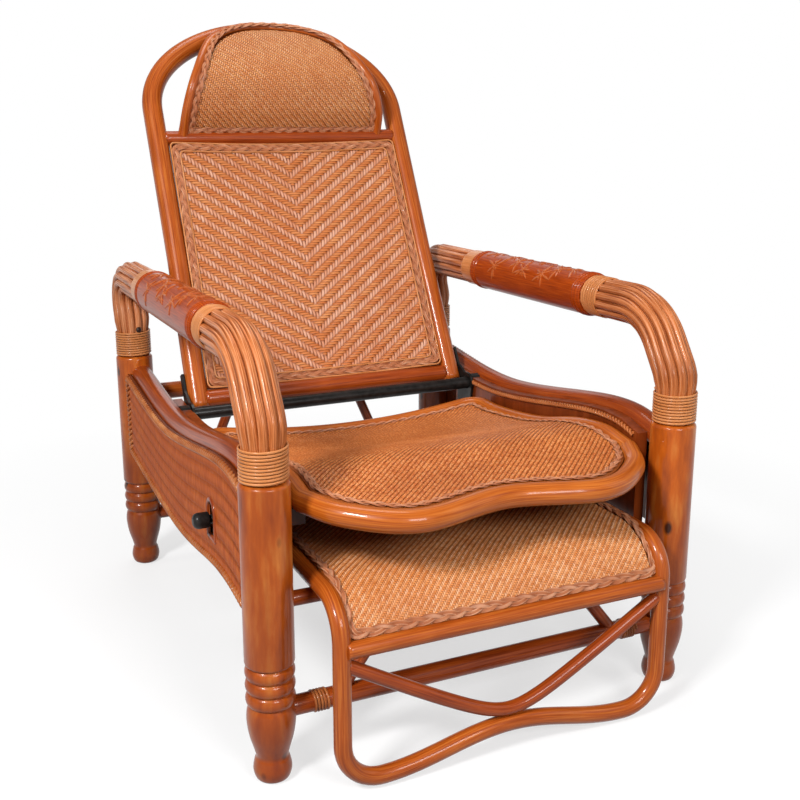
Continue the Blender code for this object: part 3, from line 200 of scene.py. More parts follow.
def mirrored(half):
    """Join a half outline that ends on the middle plane to its mirror image across x = 0."""
    other = half.copy()
    other[:, 0] *= -1.0
    return np.concatenate([half, other[-2::-1]])


quarter = rounded([(0.0, 0.1), (0.0, 0.0), (0.1, 0.0)], (100 * MM,))
print(f"a quarter bend of 100 mm radius is {run(quarter)[-1] / MM:.0f} mm long")

# %% [markdown]
# ## Sweeps
# A section carried along a path makes a tube. The section needs an "up" at each point: a given one
# where the piece lies on a surface, or else one carried along without twisting. A plait and a rope
# are several such tubes that wind about one path.

# %% Sweep a section along a path
def frames(path, up=None, loop=False):
    """Give side and up vectors at each path point, with side x up = tangent."""
    if loop:
        tangent = unit(np.roll(path, -1, 0) - np.roll(path, 1, 0))
    else:
        tangent = unit(np.gradient(path, axis=0))
    if up is None:
        ups = np.zeros_like(path)
        last = np.eye(3)[np.argmin(np.abs(tangent[0]))]
        for i, t in enumerate(tangent):
            last = unit(last - t * (t @ last))
            ups[i] = last
    else:
        up = np.broadcast_to(up, path.shape)
        ups = unit(up - tangent * np.sum(tangent * up, -1, keepdims=True))
    return np.cross(ups, tangent), ups


def sweep(path, radius, sides=20, up=None, loop=False, flat=1.0):
    """Carry an ellipse along a path: p + r cos(a) side + flat r sin(a) up, as an (n, sides, 3) grid."""
    path = np.asarray(path, float)
    side, ups = frames(path, up, loop)
    angle = np.linspace(0.0, 2 * np.pi, sides, endpoint=False)
    reach = np.broadcast_to(radius, (len(path),))[:, None]
    x = (reach * np.cos(angle))[..., None]
    y = (reach * np.sin(angle) * flat)[..., None]
    return path[:, None] + x * side[:, None] + y * ups[:, None]


def turned(profile, sides=64):
    """Turn (radius, height) pairs about Z, from the lowest up."""
    profile = np.asarray(profile, float)
    angle = np.linspace(0.0, 2 * np.pi, sides, endpoint=False)
    ring = np.stack([np.cos(angle), np.sin(angle), np.zeros(sides)], -1)
    return profile[:, None, :1] * ring + profile[:, None, 1:] * Z_AXIS


def phase(path, pitch, loop):
    """Give the angle 2 pi s / pitch at each point, with a whole number of turns on a loop."""
    length = run(np.concatenate([path, path[:1]]))
    if loop:
        pitch = length[-1] / max(round(length[-1] / pitch), 1)
    return 2 * np.pi * length[:-1] / pitch


PLAIT_SIDES, PLAIT_SWING, PLAIT_STEP, PLAIT_STRAND = 5, 0.52, 0.20, 0.115


def plait(path, up, width, height, pitch, loop=True):
    """A flat braid about two widths w across: three bundles k of four strands j that cross in turn.

    A strand lies w (0.52 sin p + 0.20 j) across and h sin(2p) / 2 up, with p = 2 pi (s / pitch +
    k / 3). The second array is painted shade: 1 on top of a strand that is on top, falling to its
    sides and where it dives.
    """
    path = np.asarray(path, float)
    side, ups = frames(path, up, loop)
    turns = phase(path, pitch, loop)
    crown = 0.5 + 0.5 * np.sin(np.linspace(0.0, 2 * np.pi, PLAIT_SIDES, endpoint=False))
    points, high = [], []
    for k in range(3):
        p = turns + 2 * np.pi * k / 3
        for j in (-1.5, -0.5, 0.5, 1.5):
            across = width * (PLAIT_SWING * np.sin(p) + PLAIT_STEP * j)
            line = path + side * across[:, None] + ups * (0.5 * height * np.sin(2 * p))[:, None]
            points.append(sweep(line, width * PLAIT_STRAND, PLAIT_SIDES, ups, loop))
            high.append((0.78 + 0.22 * np.sin(2 * p))[:, None] * (0.2 + 0.8 * crown))
    return np.stack(points), np.stack(high)


def rope(path, up, radius, pitch, sides=7):
    """Two strands wound round a path: offset = r / 2 (cos p, sin p), p = 2 pi (s / pitch + k / 2)."""
    side, ups = frames(path, up)
    out = []
    for k in range(2):
        p = (phase(path, pitch, False) + np.pi * k)[:, None]
        line = path + (side * np.cos(p) + ups * np.sin(p)) * radius * 0.5
        out.append(sweep(line, radius * 0.55, sides, ups))
    return np.stack(out)


print("the grid of a tube with 5 rings:", sweep(along_x(np.arange(5.0), 0.0, 0.0), 10 * MM).shape)

# %% [markdown]
# ## Finishes
# The chair is rattan and wood under a warm, glossy lacquer. Colours are sRGB hex codes, turned into
# linear values by one function. A second small function adds a shader node with its settings and
# links, so that each material reads as a short list. Two more name what recurs on this chair: a
# pattern of soft grains of a real size, and a colour laid over another, as a real stain in some
# places and as painted shade in others.

# %% Colour and node helpers
def colour(code):
    """Turn an sRGB hex code into a linear RGBA tuple."""
    parts = [int(code[i:i + 2], 16) / 255 for i in (1, 3, 5)]
    return (*[c / 12.92 if c <= 0.04045 else ((c + 0.055) / 1.055) ** 2.4 for c in parts], 1.0)


def node(tree, kind, inputs=None, out=0, stops=(), **settings):
    """Add a shader node, set its settings, set or link each input, and give one of its outputs.

    stops are the (position, hex code) pairs of a colour ramp.
    """
    made = tree.nodes.new("ShaderNode" + kind)
    for key, value in settings.items():
        setattr(made, key, value)
    for key, value in (inputs or {}).items():
        if isinstance(value, bpy.types.NodeSocket):
            tree.links.new(value, made.inputs[key])
        else:
            made.inputs[key].default_value = value
    if stops:
        tones = made.color_ramp.elements
        tones[0].position, tones[1].position = stops[0][0], stops[-1][0]
        for place, _ in stops[1:-1]:
            tones.new(place)
        for tone, (_, code) in zip(tones, stops):
            tone.color = colour(code)
    return made.outputs[out]


def grains(tree, place, size, detail):
    """Soft grains about size[0] long along X, size[1] along Y and size[2] along Z, in metres."""
    moved = node(tree, "Mapping", {"Vector": place, "Scale": [1 / s for s in size]})
    return node(tree, "TexNoise", {"Vector": moved, "Scale": 1.0, "Detail": detail, "Roughness": 0.55})


def stain_and_shade(tree, base, code, where, amount=1.0):
    """Lay a colour over another, for real stains and for painted shade: base + (colour - base) * where *
    amount.
    """
    share = node(tree, "Math", {0: where, 1: amount}, operation="MULTIPLY")
    return node(tree, "MixRGB", {"Fac": share, "Color1": base, "Color2": colour(code)})


def start(name):
    """Make a material and give it, its tree, its shader, its UV output and its object coordinates."""
    material = bpy.data.materials.new(name)
    material.use_nodes = True
    tree = material.node_tree
    uv = node(tree, "UVMap", uv_map="UVMap")
    place = node(tree, "TexCoord", out="Object")
    return material, tree, tree.nodes["Principled BSDF"], uv, place


def polish(tree, shader, base, rough, coat, height, depth, specular=0.18):
    """Wire a colour, a roughness, a clear coat and a small bump, in metres, into the shader.

    Lacquer has an IOR near 1.5. The coat carries that sharp shine, so the layer under it is dull.
    """
    bump = node(tree, "Bump", {"Height": height, "Strength": 0.6, "Distance": depth})
    tree.links.new(base, shader.inputs["Base Color"])
    tree.links.new(bump, shader.inputs["Normal"])
    for key, value in (("Roughness", rough), ("Specular IOR Level", specular), ("Coat Weight", coat),
                       ("Coat Roughness", 0.09), ("Coat IOR", 1.5)):
        shader.inputs[key].default_value = value


print(f"the grey #808080 is {colour('#808080')[0]:.3f} in linear light")

# %% [markdown]
# Lacquered cane is rattan with its skin on, brushed with a tinted lacquer. The eye sees fine streaks
# along the cane, 0.8 to 2.2 mm wide and 90 mm long, over slow patches where the lacquer is thicker.
# The streaks follow the UV map, so they bend with the cane, which a pattern in space would not do.

# %% Cane lacquers
CANE_STOPS = (0.30, 0.50, 0.70)


def cane_lacquer(name, codes, coat, streak=1.5 * MM, stops=CANE_STOPS, rough=0.36):
    """Glossy cane: streaks from the dark to the light code, with slow patches of the first code."""
    material, tree, shader, uv, place = start(name)
    streaks = grains(tree, uv, (90 * MM, streak, 1.0), 4.0)
    wear = grains(tree, place, (62.5 * MM,) * 3, 2.0)
    base = node(tree, "ValToRGB", {"Fac": streaks}, stops=list(zip(stops, codes)))
    dark = node(tree, "ValToRGB", {"Fac": wear}, stops=((0.45, "#000000"), (0.75, "#FFFFFF")))
    polish(tree, shader, stain_and_shade(tree, base, codes[0], dark, 0.35), rough, coat, streaks, 0.12 * MM)
    return material


CANE = cane_lacquer("honey lacquered cane", ("#843608", "#A84E14", "#BE6A28"), 0.26, 2.2 * MM)
ARM_CANE = cane_lacquer("streaked arm cane", ("#763412", "#BE6C36", "#DC9E76"), 0.12, 1.3 * MM,
                        (0.36, 0.50, 0.66), 0.42)
# Dark cane is the real darker lacquer of the rails; on the stretchers and arch braces low under the seat its
# darkness is painted shade.
DARK_AND_SHADED_CANE = cane_lacquer("dark lacquered cane and painted shade", ("#6E2606", "#943C0E", "#A84E18"), 0.26, 2.2 * MM)
RIM = cane_lacquer("amber lacquered cane", ("#8E3E0E", "#B05816", "#C26E28"), 0.28, 2.2 * MM)
WINDING = cane_lacquer("split rattan winding", ("#A05626", "#C67E46", "#DEA070"), 0.16, 0.8 * MM)
EDGE = cane_lacquer("split rattan edging", ("#96501E", "#C88048", "#E2AA80"), 0.12, 0.8 * MM)
DARK_EDGE = cane_lacquer("dark twisted edging", ("#7E3A14", "#AC6030", "#CC8A54"), 0.15, 0.8 * MM)
# The two grounds are painted shade: dark colours for the sheets and the core that lie in shadow behind the
# strands.
SHADE_GROUND = cane_lacquer("shadowed weave ground", ("#4E1E07", "#6A2C0C", "#7E3C14"), 0.05)
WARM_SHADE_GROUND = cane_lacquer("warm weave ground in painted shade", ("#7A3A12", "#8E4A1C", "#A05A28"), 0.05)
print("materials with cane:", len(bpy.data.materials))

# %% [markdown]
# The legs are turned softwood under lacquer. The eye sees grain stretched along the leg, a few dark
# knots, and colour that darkens towards the foot. Voronoi cells 31 mm wide and 56 mm high hold one
# knot each, and only those near the surface show. A random colour per cell leaves some of them out.
# Boards have the same grain and no knots.

# %% Turned wood and boards
KNOT_CELL = (31.25 * MM, 31.25 * MM, 55.556 * MM)
KNOT_SHARE, KNOT_SIZE = 0.45, 0.11


def leg_wood(name, codes, coat, knots=True):
    """Lacquered wood with upright grain and, if asked, small dark knots and a dark foot."""
    material, tree, shader, _, place = start(name)
    grain = grains(tree, place, (16.667 * MM, 16.667 * MM, 83.333 * MM), 5.0)
    wear = grains(tree, place, (33.333 * MM, 33.333 * MM, 250 * MM), 3.0)
    base = node(tree, "ValToRGB", {"Fac": grain}, stops=list(zip((0.25, 0.52, 0.80), codes)))
    dark = node(tree, "ValToRGB", {"Fac": wear}, stops=((0.42, "#000000"), (0.72, "#FFFFFF")))
    base = stain_and_shade(tree, base, codes[0], dark, 0.60)
    if knots:
        # Darker towards the foot: up to 0.55 of the way to dark brown at 6 cm, fading out by 30 cm.
        height = node(tree, "SeparateXYZ", {0: place}, "Z")
        foot = node(tree, "MapRange", {"Value": height, "From Min": 0.06, "From Max": 0.30,
                                       "To Min": 0.55, "To Max": 0.0})
        base = stain_and_shade(tree, base, "#7A2C08", foot)
        cell = node(tree, "Mapping", {"Vector": place, "Scale": [1 / s for s in KNOT_CELL]})
        away = node(tree, "TexVoronoi", {"Vector": cell, "Scale": 1.0, "Randomness": 1.0})
        some = node(tree, "Math", {0: away.node.outputs["Color"], 1: KNOT_SHARE}, operation="GREATER_THAN")
        away = node(tree, "Math", {0: away, 1: KNOT_SIZE}, operation="DIVIDE")
        near = node(tree, "Math", {0: 2.0, 1: away}, operation="SUBTRACT", use_clamp=True)
        base = stain_and_shade(tree, base, "#3A1606", near, some)
    polish(tree, shader, base, 0.34, coat, grain, 0.08 * MM)
    return material


LEG = leg_wood("turned lacquered wood", ("#7A300A", "#B65612", "#D4843A"), 0.28)
# The boards and the bearer lie under the seat, and their dark colours are painted shade.
SHADED_BOARD = leg_wood("lacquered board in painted shade", ("#5E260A", "#7C3410", "#90461C"), 0.12, False)
SHADED_BEARER = leg_wood("bearer wood in painted shade", ("#2E1206", "#3E1A0A", "#4C2410"), 0.0, False)
print("materials with wood:", len(bpy.data.materials))

# %% [markdown]
# The sleeves are carved hardwood under dark red lacquer. The leaves are paler: partly because the
# lacquer gathers in the cut ground and wears thin on them, and partly as a painted highlight where
# the raised carving catches the light. The mesh says where: its mark relief is 0 in the ground and 1
# on a leaf.

# %% Carved wood
def carved_wood():
    """Dark red lacquer on fine grain, paler where the carving stands up."""
    material, tree, shader, uv, _ = start("carved lacquered sleeve")
    relief = node(tree, "Attribute", None, "Fac", attribute_name="relief")
    grain = grains(tree, uv, (50 * MM, 2 * MM, 1.0), 4.0)
    base = node(tree, "ValToRGB", {"Fac": grain},
                stops=((0.30, "#7C2A06"), (0.55, "#A03E0A"), (0.75, "#B85618")))
    # Paler on the carving: partly worn lacquer and partly a painted highlight.
    base = stain_and_shade(tree, base, "#C87C4A", relief, 0.45)
    polish(tree, shader, base, 0.30, 0.08, grain, 0.06 * MM, 0.10)
    return material


CARVED = carved_wood()
print("materials with carved wood:", len(bpy.data.materials))

# %% [markdown]
# Woven rattan is split core, dull beside the glossy canes, and no two strands have the same tone.
# Every strand that shows is a small strip of its own, with three numbers on it. Tint is different
# for each strip, pale marks the strands that lie upright, and lift is low where a strip dives under
# its neighbour and along its edges, where it is darkened as painted shade. An image of a weave would
# be quicker, but it would be flat seen from the side.

# %% Woven rattan
STRAND_STOPS = (0.15, 0.55, 0.95)


def woven_rattan(name, orange, pale, shade_code):
    """Split strips: tone = 0.45 tint + 0.6 streaks picks each strand's colour, with painted shade where it
    dives.
    """
    material, tree, shader, uv, place = start(name)
    tint, kind, lift = (node(tree, "Attribute", None, "Fac", attribute_name=mark)
                        for mark in ("tint", "pale", "lift"))
    streaks = grains(tree, uv, (30 * MM, 0.7 * MM, 1.0), 2.0)
    tint = node(tree, "Math", {0: tint, 1: 0.45}, operation="MULTIPLY")
    tone = node(tree, "Math", {0: streaks, 1: 0.6, 2: tint}, operation="MULTIPLY_ADD")
    first, second = (node(tree, "ValToRGB", {"Fac": tone}, stops=list(zip(STRAND_STOPS, codes)))
                     for codes in (orange, pale))
    base = node(tree, "MixRGB", {"Fac": kind, "Color1": first, "Color2": second})
    wear = node(tree, "ValToRGB", {"Fac": grains(tree, place, (100 * MM,) * 3, 3.0)},
                stops=((0.38, "#000000"), (0.70, "#FFFFFF")))
    base = stain_and_shade(tree, base, orange[0], wear, 0.40)
    # Painted shade: the strip turns to the shade code where its lift mark is low.
    dive_shade = node(tree, "Math", {0: 1.0, 1: lift}, operation="SUBTRACT", use_clamp=True)
    polish(tree, shader, stain_and_shade(tree, base, shade_code, dive_shade), 0.42, 0.12, streaks, 0.05 * MM)
    return material


BACK_WEAVE = woven_rattan("back weave", ("#C46A34", "#D4844C", "#E4A068"),
                          ("#CA8662", "#E0A686", "#F0C4AC"), "#7E3810")
FINE_WEAVE = woven_rattan("fine weave", ("#9A4412", "#D27436", "#F2A25C"),
                          ("#A85020", "#DE8646", "#F8B478"), "#7E340C")
FOOT_WEAVE = woven_rattan("footrest weave", ("#C2682C", "#EA9654", "#FCBC7C"),
                          ("#CC824C", "#F4B884", "#FFDEBC"), "#8E4212")
HEAD_WEAVE = woven_rattan("headrest weave", ("#D47A3E", "#EE9C58", "#FABA78"),
                          ("#D88A58", "#F2AC78", "#FECC9C"), "#722E0A")
PLAIT = woven_rattan("plaited edging", *[("#AA5C34", "#CA8860", "#EABC9C")] * 2, "#6C2A0C")
PANEL_WEAVE = woven_rattan("side weave", *[("#A44610", "#BC5818", "#D0722C")] * 2, "#742C06")
print("materials with woven rattan:", len(bpy.data.materials))

# %% [markdown]
# The tube, the rod and the plates are black painted steel, the knobs are moulded black rubber, and
# one nail head is browned steel. All are nearly black, and a faint mottle a few millimetres wide
# keeps their highlights from looking perfectly even.

# %% Steel, rubber and the nail
def black_finish(name, code, rough, size):
    """Dark paint or rubber with a faint mottle of a given size."""
    material, tree, shader, _, place = start(name)
    mottle = grains(tree, place, (size,) * 3, 4.0)
    base = node(tree, "ValToRGB", {"Fac": mottle}, stops=((0.3, code), (0.8, "#2A2624")))
    polish(tree, shader, base, rough, 0.1, mottle, 0.05 * MM)
    return material


STEEL = black_finish("black painted steel", "#0F0E0D", 0.34, 8.333 * MM)
RUBBER = black_finish("black rubber", "#121212", 0.50, 3.846 * MM)
NAIL = black_finish("browned nail head", "#35180A", 0.30, 5.0 * MM)
print("materials:", len(bpy.data.materials))

# %% [markdown]
# ## Legs
# A leg is a turned pole: a ball foot, a neck, a vase, three beads and then a plain shaft up to a
# rounded shoulder. A lathe makes that shape from one profile, and so does numpy: each (radius,
# height) pair becomes a ring. Blender's Screw modifier could spin the profile too, but the grid
# gives the UV map for free.

# %% Turn the legs
LEG_R, SHOULDER_Z, SHOULDER_BEND = 0.0315, 0.395, 0.006
BEAD_COUNT, BEAD_LOW, BEAD_PITCH, BEAD_GROOVE = 3, 0.104, 0.018, 0.0045
BALL_TO_VASE = [(0.0165, 0.0), (0.0218, 0.004), (0.0246, 0.015), (0.0226, 0.027), (0.0206, 0.033),
                (0.0226, 0.042), (0.0282, 0.062), (0.0310, 0.082), (0.0302, 0.096), (0.0272, BEAD_LOW)]


def leg_profile():
    """Radius up the leg: a spline to the vase, beads R - g (1 - |sin|^0.6), the shaft, an arc at the top."""
    low = spline(BALL_TO_VASE, 8)
    z = np.linspace(BEAD_LOW, BEAD_LOW + BEAD_COUNT * BEAD_PITCH, 16 * BEAD_COUNT + 1)[1:]
    wave = np.abs(np.sin(np.pi * (z - BEAD_LOW) / BEAD_PITCH)) ** 0.6
    beads = np.stack([LEG_R - BEAD_GROOVE * (1.0 - wave), z], -1)
    shaft = [(LEG_R - 0.8 * MM, z[-1] + 2 * MM), (LEG_R, z[-1] + 5 * MM), (LEG_R, 0.300),
             (LEG_R, SHOULDER_Z - SHOULDER_BEND)]
    a = np.linspace(0.0, np.pi / 2, 8)[1:]
    shoulder = np.stack([LEG_R - SHOULDER_BEND * (1 - np.cos(a)),
                         SHOULDER_Z - SHOULDER_BEND * (1 - np.sin(a))], -1)
    return np.concatenate([low, beads, shaft, shoulder])


leg = turned(leg_profile())
for name, foot in LEGS:
    build(f"leg_{name}_turned", leg + foot, LEG, "chair", (f"leg_{name}",))

# %% [markdown]
# ## Windings
# Split rattan is wound tightly round the foot of each arm, round the front end of each sleeve and
# round the ends of the front stretcher. A stack of rings would look alike from afar, but a real
# winding is one helix: its angle grows as its height grows, and so it is here.

# %% Wind the joints
WIRE_R, WIRE_PITCH, WIRE_FLAT = 0.0015, 0.0042, 0.45
ARM_R, ARM_TURNS = 0.030, 10.1


def winding(base, axis, radius, turns, pitch=WIRE_PITCH):
    """A helix of flat strand: p(t) = base + axis pitch (0.5 + t) + radius (cos 2 pi t, sin 2 pi t)."""
    axis = unit(np.asarray(axis, float))
    across = unit(np.cross(axis, X_AXIS if abs(axis[0]) < 0.9 else Z_AXIS))
    t = np.linspace(0.0, turns, int(turns * 28) + 1)[:, None]
    out = across * np.cos(2 * np.pi * t) + np.cross(axis, across) * np.sin(2 * np.pi * t)
    path = np.asarray(base, float) + axis * pitch * (0.5 + t) + out * radius
    return sweep(path, WIRE_R, 8, axis, flat=WIRE_FLAT * pitch / WIRE_R)


for name, foot in LEGS:
    coil = winding(foot + SHOULDER_Z * Z_AXIS, Z_AXIS, ARM_R - WIRE_R + 0.6 * MM, ARM_TURNS)
    build(f"winding_{name}_split", coil, WINDING, "chair", (f"winding_{name}",))

# %% [markdown]
# ## Arms
# Each arm is a bundle of twelve thin canes that rise from the front leg, bend over, run back almost
# level and bend down to the rear leg. The bundle follows one path. Each cane follows the same path
# at its own place on a ring, drawn in where the winding binds it. One thick tube with grooves would
# be simpler, but real canes swell and cast small shadows on each other. A core fills the bundle, so
# that no light comes through the gaps, and its dark colour is painted shade in the gaps.

# %% Bend the arm canes
ARM_LOW = SHOULDER_Z + 0.3 * MM
ARM_CORNER_Z = 0.4596
ARM_FRONT, ARM_REAR = np.array([0.0, -0.317, 0.546]), np.array([0.0, 0.411, 0.534])
ARM_BENDS = (0.050, 0.090, 0.042, 0.050)
CANE_COUNT, CANE_R, CORE_GAP = 12, 0.0063, 1.5 * MM
BOUND_RING, BOUND_TOP, LOOSE_LOW = 0.0205, ARM_LOW + 0.042, ARM_LOW + 0.062


def arm_path():
    """The middle of the bundle, in the plane of one arm, from the front leg to the rear leg."""
    corners = [(0, -LEG_Y, ARM_LOW), (0, -LEG_Y, ARM_CORNER_Z), ARM_FRONT, ARM_REAR,
               (0, LEG_Y, ARM_CORNER_Z), (0, LEG_Y, ARM_LOW)]
    return respace(rounded(corners, ARM_BENDS), 7 * MM)


def arm_canes():
    """Twelve tubes round the path, at angle 2 pi (k + 1/2) / 12 on the ring, and the core inside."""
    path = arm_path()
    side, ups = frames(path, X_AXIS)
    ring = np.interp(path[:, 2], (BOUND_TOP, LOOSE_LOW), (BOUND_RING, ARM_R - CANE_R))
    out = []
    for k in range(CANE_COUNT):
        a = 2 * np.pi * (k + 0.5) / CANE_COUNT
        line = path + (side * math.cos(a) + ups * math.sin(a)) * ring[:, None]
        swell = 1.0 + 0.03 * np.sin(np.arange(len(path)) * 0.11 + 2.0 * k)
        out.append(sweep(line, CANE_R * swell, 12, X_AXIS))
    return np.stack(out), sweep(path, ring - CORE_GAP, 16, X_AXIS)


canes, core = arm_canes()
for side, sign in SIDES:
    build(f"arm_canes_{side}_bundle", canes + sign * LEG_X * X_AXIS, ARM_CANE, "chair",
          (f"arm_canes_{side}",))
    # The core is dark as painted shade between the canes.
    build(f"arm_canes_{side}_core", core + sign * LEG_X * X_AXIS, SHADE_GROUND, "chair",
          (f"arm_canes_{side}",))

# %% [markdown]
# ## Carved sleeves
# A wooden sleeve covers the middle of each arm. It is turned, with two beads at each end, and its
# upper side is carved in low relief with loose sprays of slender leaves and small flowers. A bump
# map would stay flat in the outline. Here the carving is a height formula on the sleeve's own
# (length, angle) grid, so it is a real relief.

# %% Draw the leaves and flowers
SPRAYS = 9
SLEEVE_FRONT, SLEEVE_REAR, SLEEVE_R = -0.175, 0.172, 0.0330
ARM_AXIS = unit(ARM_REAR - ARM_FRONT)


def on_arm(y):
    """The point of the arm's straight top at a given y."""
    return ARM_FRONT + ARM_AXIS * ((y - ARM_FRONT[1]) / ARM_AXIS[1])


def leaf(u, v, at, size, turn):
    """A slender leaf 2 sizes long: 1 - |y| / (0.20 (1 - x^2)) in the leaf's own frame, flat on top."""
    c, s = math.cos(turn), math.sin(turn)
    x, y = ((u - at[0]) * c + (v - at[1]) * s) / size, ((v - at[1]) * c - (u - at[0]) * s) / size
    body = np.clip(1.0 - np.abs(y) / np.maximum(0.20 * (1.0 - x * x), 1e-6), 0.0, 1.0) * (np.abs(x) < 1.0)
    return np.minimum(body * 2.0, 1.0)


def flower(u, v, at, size, turn):
    """Five round petals with a cut eye: the distance from the middle against size (1 + 0.35 cos 5a)."""
    away, angle = np.hypot(u - at[0], v - at[1]), np.arctan2(v - at[1], u - at[0])
    petals = np.clip((size * (1.0 + 0.35 * np.cos(5 * (angle - turn))) - away) / (1.2 * MM), 0.0, 1.0)
    return petals * np.clip(away / (0.35 * size), 0.2, 1.0)


def spray_relief(u, v, length):
    """Sprays down the sleeve, each a flower and two buds with seven to nine leaves fanned round it."""
    relief = np.zeros_like(u)
    for n in range(SPRAYS):
        middle = np.array([(0.15 + 0.0875 * n) * length, -0.016 + 0.019 * math.sin(2.4 * n + 0.6)])
        count, turn = 7 + n % 3, 1.7 * n
        for k in range(count):
            angle = turn + 2 * math.pi * k / count + 0.35 * math.sin(2.3 * k)
            size = (5.6 + 2.6 * ((k + n) % 3)) * MM
            out = np.array([math.cos(angle), math.sin(angle)])
            relief = np.maximum(relief, leaf(u, v, middle + out * (4.5 * MM + size), size, angle))
        for k, size, away in ((0, 4.8 * MM, 0.0), (1, 3.2 * MM, 8 * MM), (2, 2.8 * MM, 8 * MM)):
            out = np.array([math.cos(turn + 2.1 * k), math.sin(turn + 2.1 * k)]) * away
            relief = np.maximum(relief, flower(u, v, middle + out, size, turn + k))
    return relief


print("sprays on each sleeve:", SPRAYS)

# %% [markdown]
# The sleeve itself is turned first: a tube with a rounded rim, three fine grooves and two beads at
# each end. The carving is then added to its radius. An even grid would need many more faces for the
# same leaves, so the grid is fine on the upper side and coarse underneath.

# %% Carve the sleeves
TURNED_END, ROUND_END = 24 * MM, 3 * MM
GROOVES, BEADS = (4.0 * MM, 11.5 * MM, 19.0 * MM), (7.8 * MM, 15.3 * MM)


def sleeve(length):
    """Radius R - rounded rim - grooves + beads + 1.1 mm relief, on a grid finest on the carved side.

    A groove and a bead are bell curves exp(-((end - at) / w)^2) of the distance from the end.
    """
    u = np.concatenate([np.linspace(0.0, TURNED_END, 40)[:-1],
                        np.linspace(TURNED_END, length - TURNED_END, 280),
                        np.linspace(length - TURNED_END, length, 40)[1:]])
    a = np.concatenate([np.linspace(-0.3, 2.5, 120)[:-1], np.linspace(2.5, 2 * np.pi - 0.3, 40)[:-1]])
    uu, aa = np.meshgrid(u, a, indexing="ij")
    v = (np.mod(aa + np.pi / 2, 2 * np.pi) - np.pi) * SLEEVE_R
    relief = spray_relief(uu, v, length) * np.clip((56 * MM - np.abs(v + 10 * MM)) / (4 * MM), 0, 1)
    end = np.minimum(uu, length - uu)
    inward = 1 - np.minimum(end, ROUND_END) / ROUND_END
    rim = 2.2 * MM * (1 - np.sqrt(np.clip(1 - inward ** 2, 0, 1)))
    grooves = sum(1.6 * MM * np.exp(-((end - at) / (1.2 * MM)) ** 2) for at in GROOVES)
    beads = sum(1.0 * MM * np.exp(-((end - at) / (2.4 * MM)) ** 2) for at in BEADS)
    return u, a, SLEEVE_R - rim - grooves + beads + 1.1 * MM * relief, relief


length = float(np.linalg.norm(on_arm(SLEEVE_REAR) - on_arm(SLEEVE_FRONT)))
u, a, reach, relief = sleeve(length)
line = on_arm(SLEEVE_FRONT) + ARM_AXIS * u[:, None]
across, ups = frames(line, Z_AXIS)
tube = (line[:, None] + (reach * np.cos(a))[..., None] * across[:, None]
        + (reach * np.sin(a))[..., None] * ups[:, None])
for side, sign in SIDES:
    build(f"arm_sleeve_{side}_carved", tube + sign * LEG_X * X_AXIS, CARVED, "chair",
          (f"arm_sleeve_{side}",), marks={"relief": relief})
print(f"sleeve {length / MM:.0f} mm long")

# %% [markdown]
# A flat strap of split rattan, 38 mm wide, closes the rear end of each sleeve, and a short winding
# its front end. The strap could be a plain cylinder, but split rattan is thinner at its edges, so
# it is a tube whose radius falls a little at both ends.

# %% Strap and wind the sleeves
STRAP_WIDE, STRAP_GAP, STRAP_R, STRAP_ROUND = 38 * MM, 0.6 * MM, 0.0312, 3.5 * MM
SLEEVE_TURNS, SLEEVE_PITCH = 6.3, 5.6 * MM
t = np.linspace(STRAP_GAP, STRAP_WIDE - STRAP_GAP, 21)
edge = np.minimum(t, STRAP_WIDE - t)
strap_r = STRAP_R - 1.2 * MM * np.clip(1 - edge / STRAP_ROUND, 0, 1) ** 2
for side, sign in SIDES:
    offset = sign * LEG_X * X_AXIS
    strap = sweep(on_arm(SLEEVE_REAR) + ARM_AXIS * t[:, None] + offset, strap_r, 48, Z_AXIS)
    build(f"sleeve_band_{side}_strap", strap, WINDING, "chair", (f"sleeve_band_{side}",))
    coil = winding(on_arm(SLEEVE_FRONT) + offset - ARM_AXIS * 0.8 * MM, -ARM_AXIS,
                   ARM_R - WIRE_R + 1.2 * MM, SLEEVE_TURNS, SLEEVE_PITCH)
    build(f"sleeve_winding_{side}_split", coil, WINDING, "chair",
          (f"sleeve_winding_{side}",))

# %% [markdown]
# One nail with a round dark head pins the left arm's canes above the rear winding. Its head is a
# low dome turned on a lathe and then laid on its side, facing the front. A flattened ball would
# look the same, but half of it would be hidden in the cane.

# %% Drive the nail
NAIL_R, NAIL_HIGH, NAIL_Z, NAIL_OUT = 5 * MM, 4 * MM, 0.444, 28.8 * MM
a = np.linspace(0.0, np.pi / 2, 7)[:-1]
head = turned(np.stack([NAIL_R * np.cos(a), NAIL_HIGH * np.sin(a)], -1), 20)
out = np.array([0.17, -0.985, 0.0])
axes = np.stack([np.cross(Z_AXIS, out), Z_AXIS, out])
build("arm_canes_left_nail", head @ axes + (-LEG_X, LEG_Y, NAIL_Z) + out * NAIL_OUT, NAIL, "chair")

# %% [markdown]
# ## Side rails, stretchers and braces
# These are plain canes. The side rails wave along the seat. The stretchers join the legs near the
# floor, and a bent brace stands on each. Each cane runs a little way into the leg that holds it, as
# a real tenon does, so no gap shows at the joint.

# %% Bend the rails and stretchers
RAIL_X, RAIL_R = 0.2935, 0.018
STRETCHER_Z, STRETCHER_R, TENON = 0.092, 0.013, 0.012
rail_top = heights([(-0.375, 0.383), (-0.255, 0.402), (0.070, 0.360), (0.375, 0.382)])
# The stretchers take the dark cane as painted shade for their place low under the seat.
CROSS_CANES = (("front_rod", -0.360, 0.230, 0.010, DARK_AND_SHADED_CANE),
               ("front_stretcher", -LEG_Y, STRETCHER_Z, STRETCHER_R, DARK_AND_SHADED_CANE),
               ("rear_rail", LEG_Y, 0.322, 0.015, CANE),
               ("rear_stretcher", LEG_Y, STRETCHER_Z, STRETCHER_R, DARK_AND_SHADED_CANE))


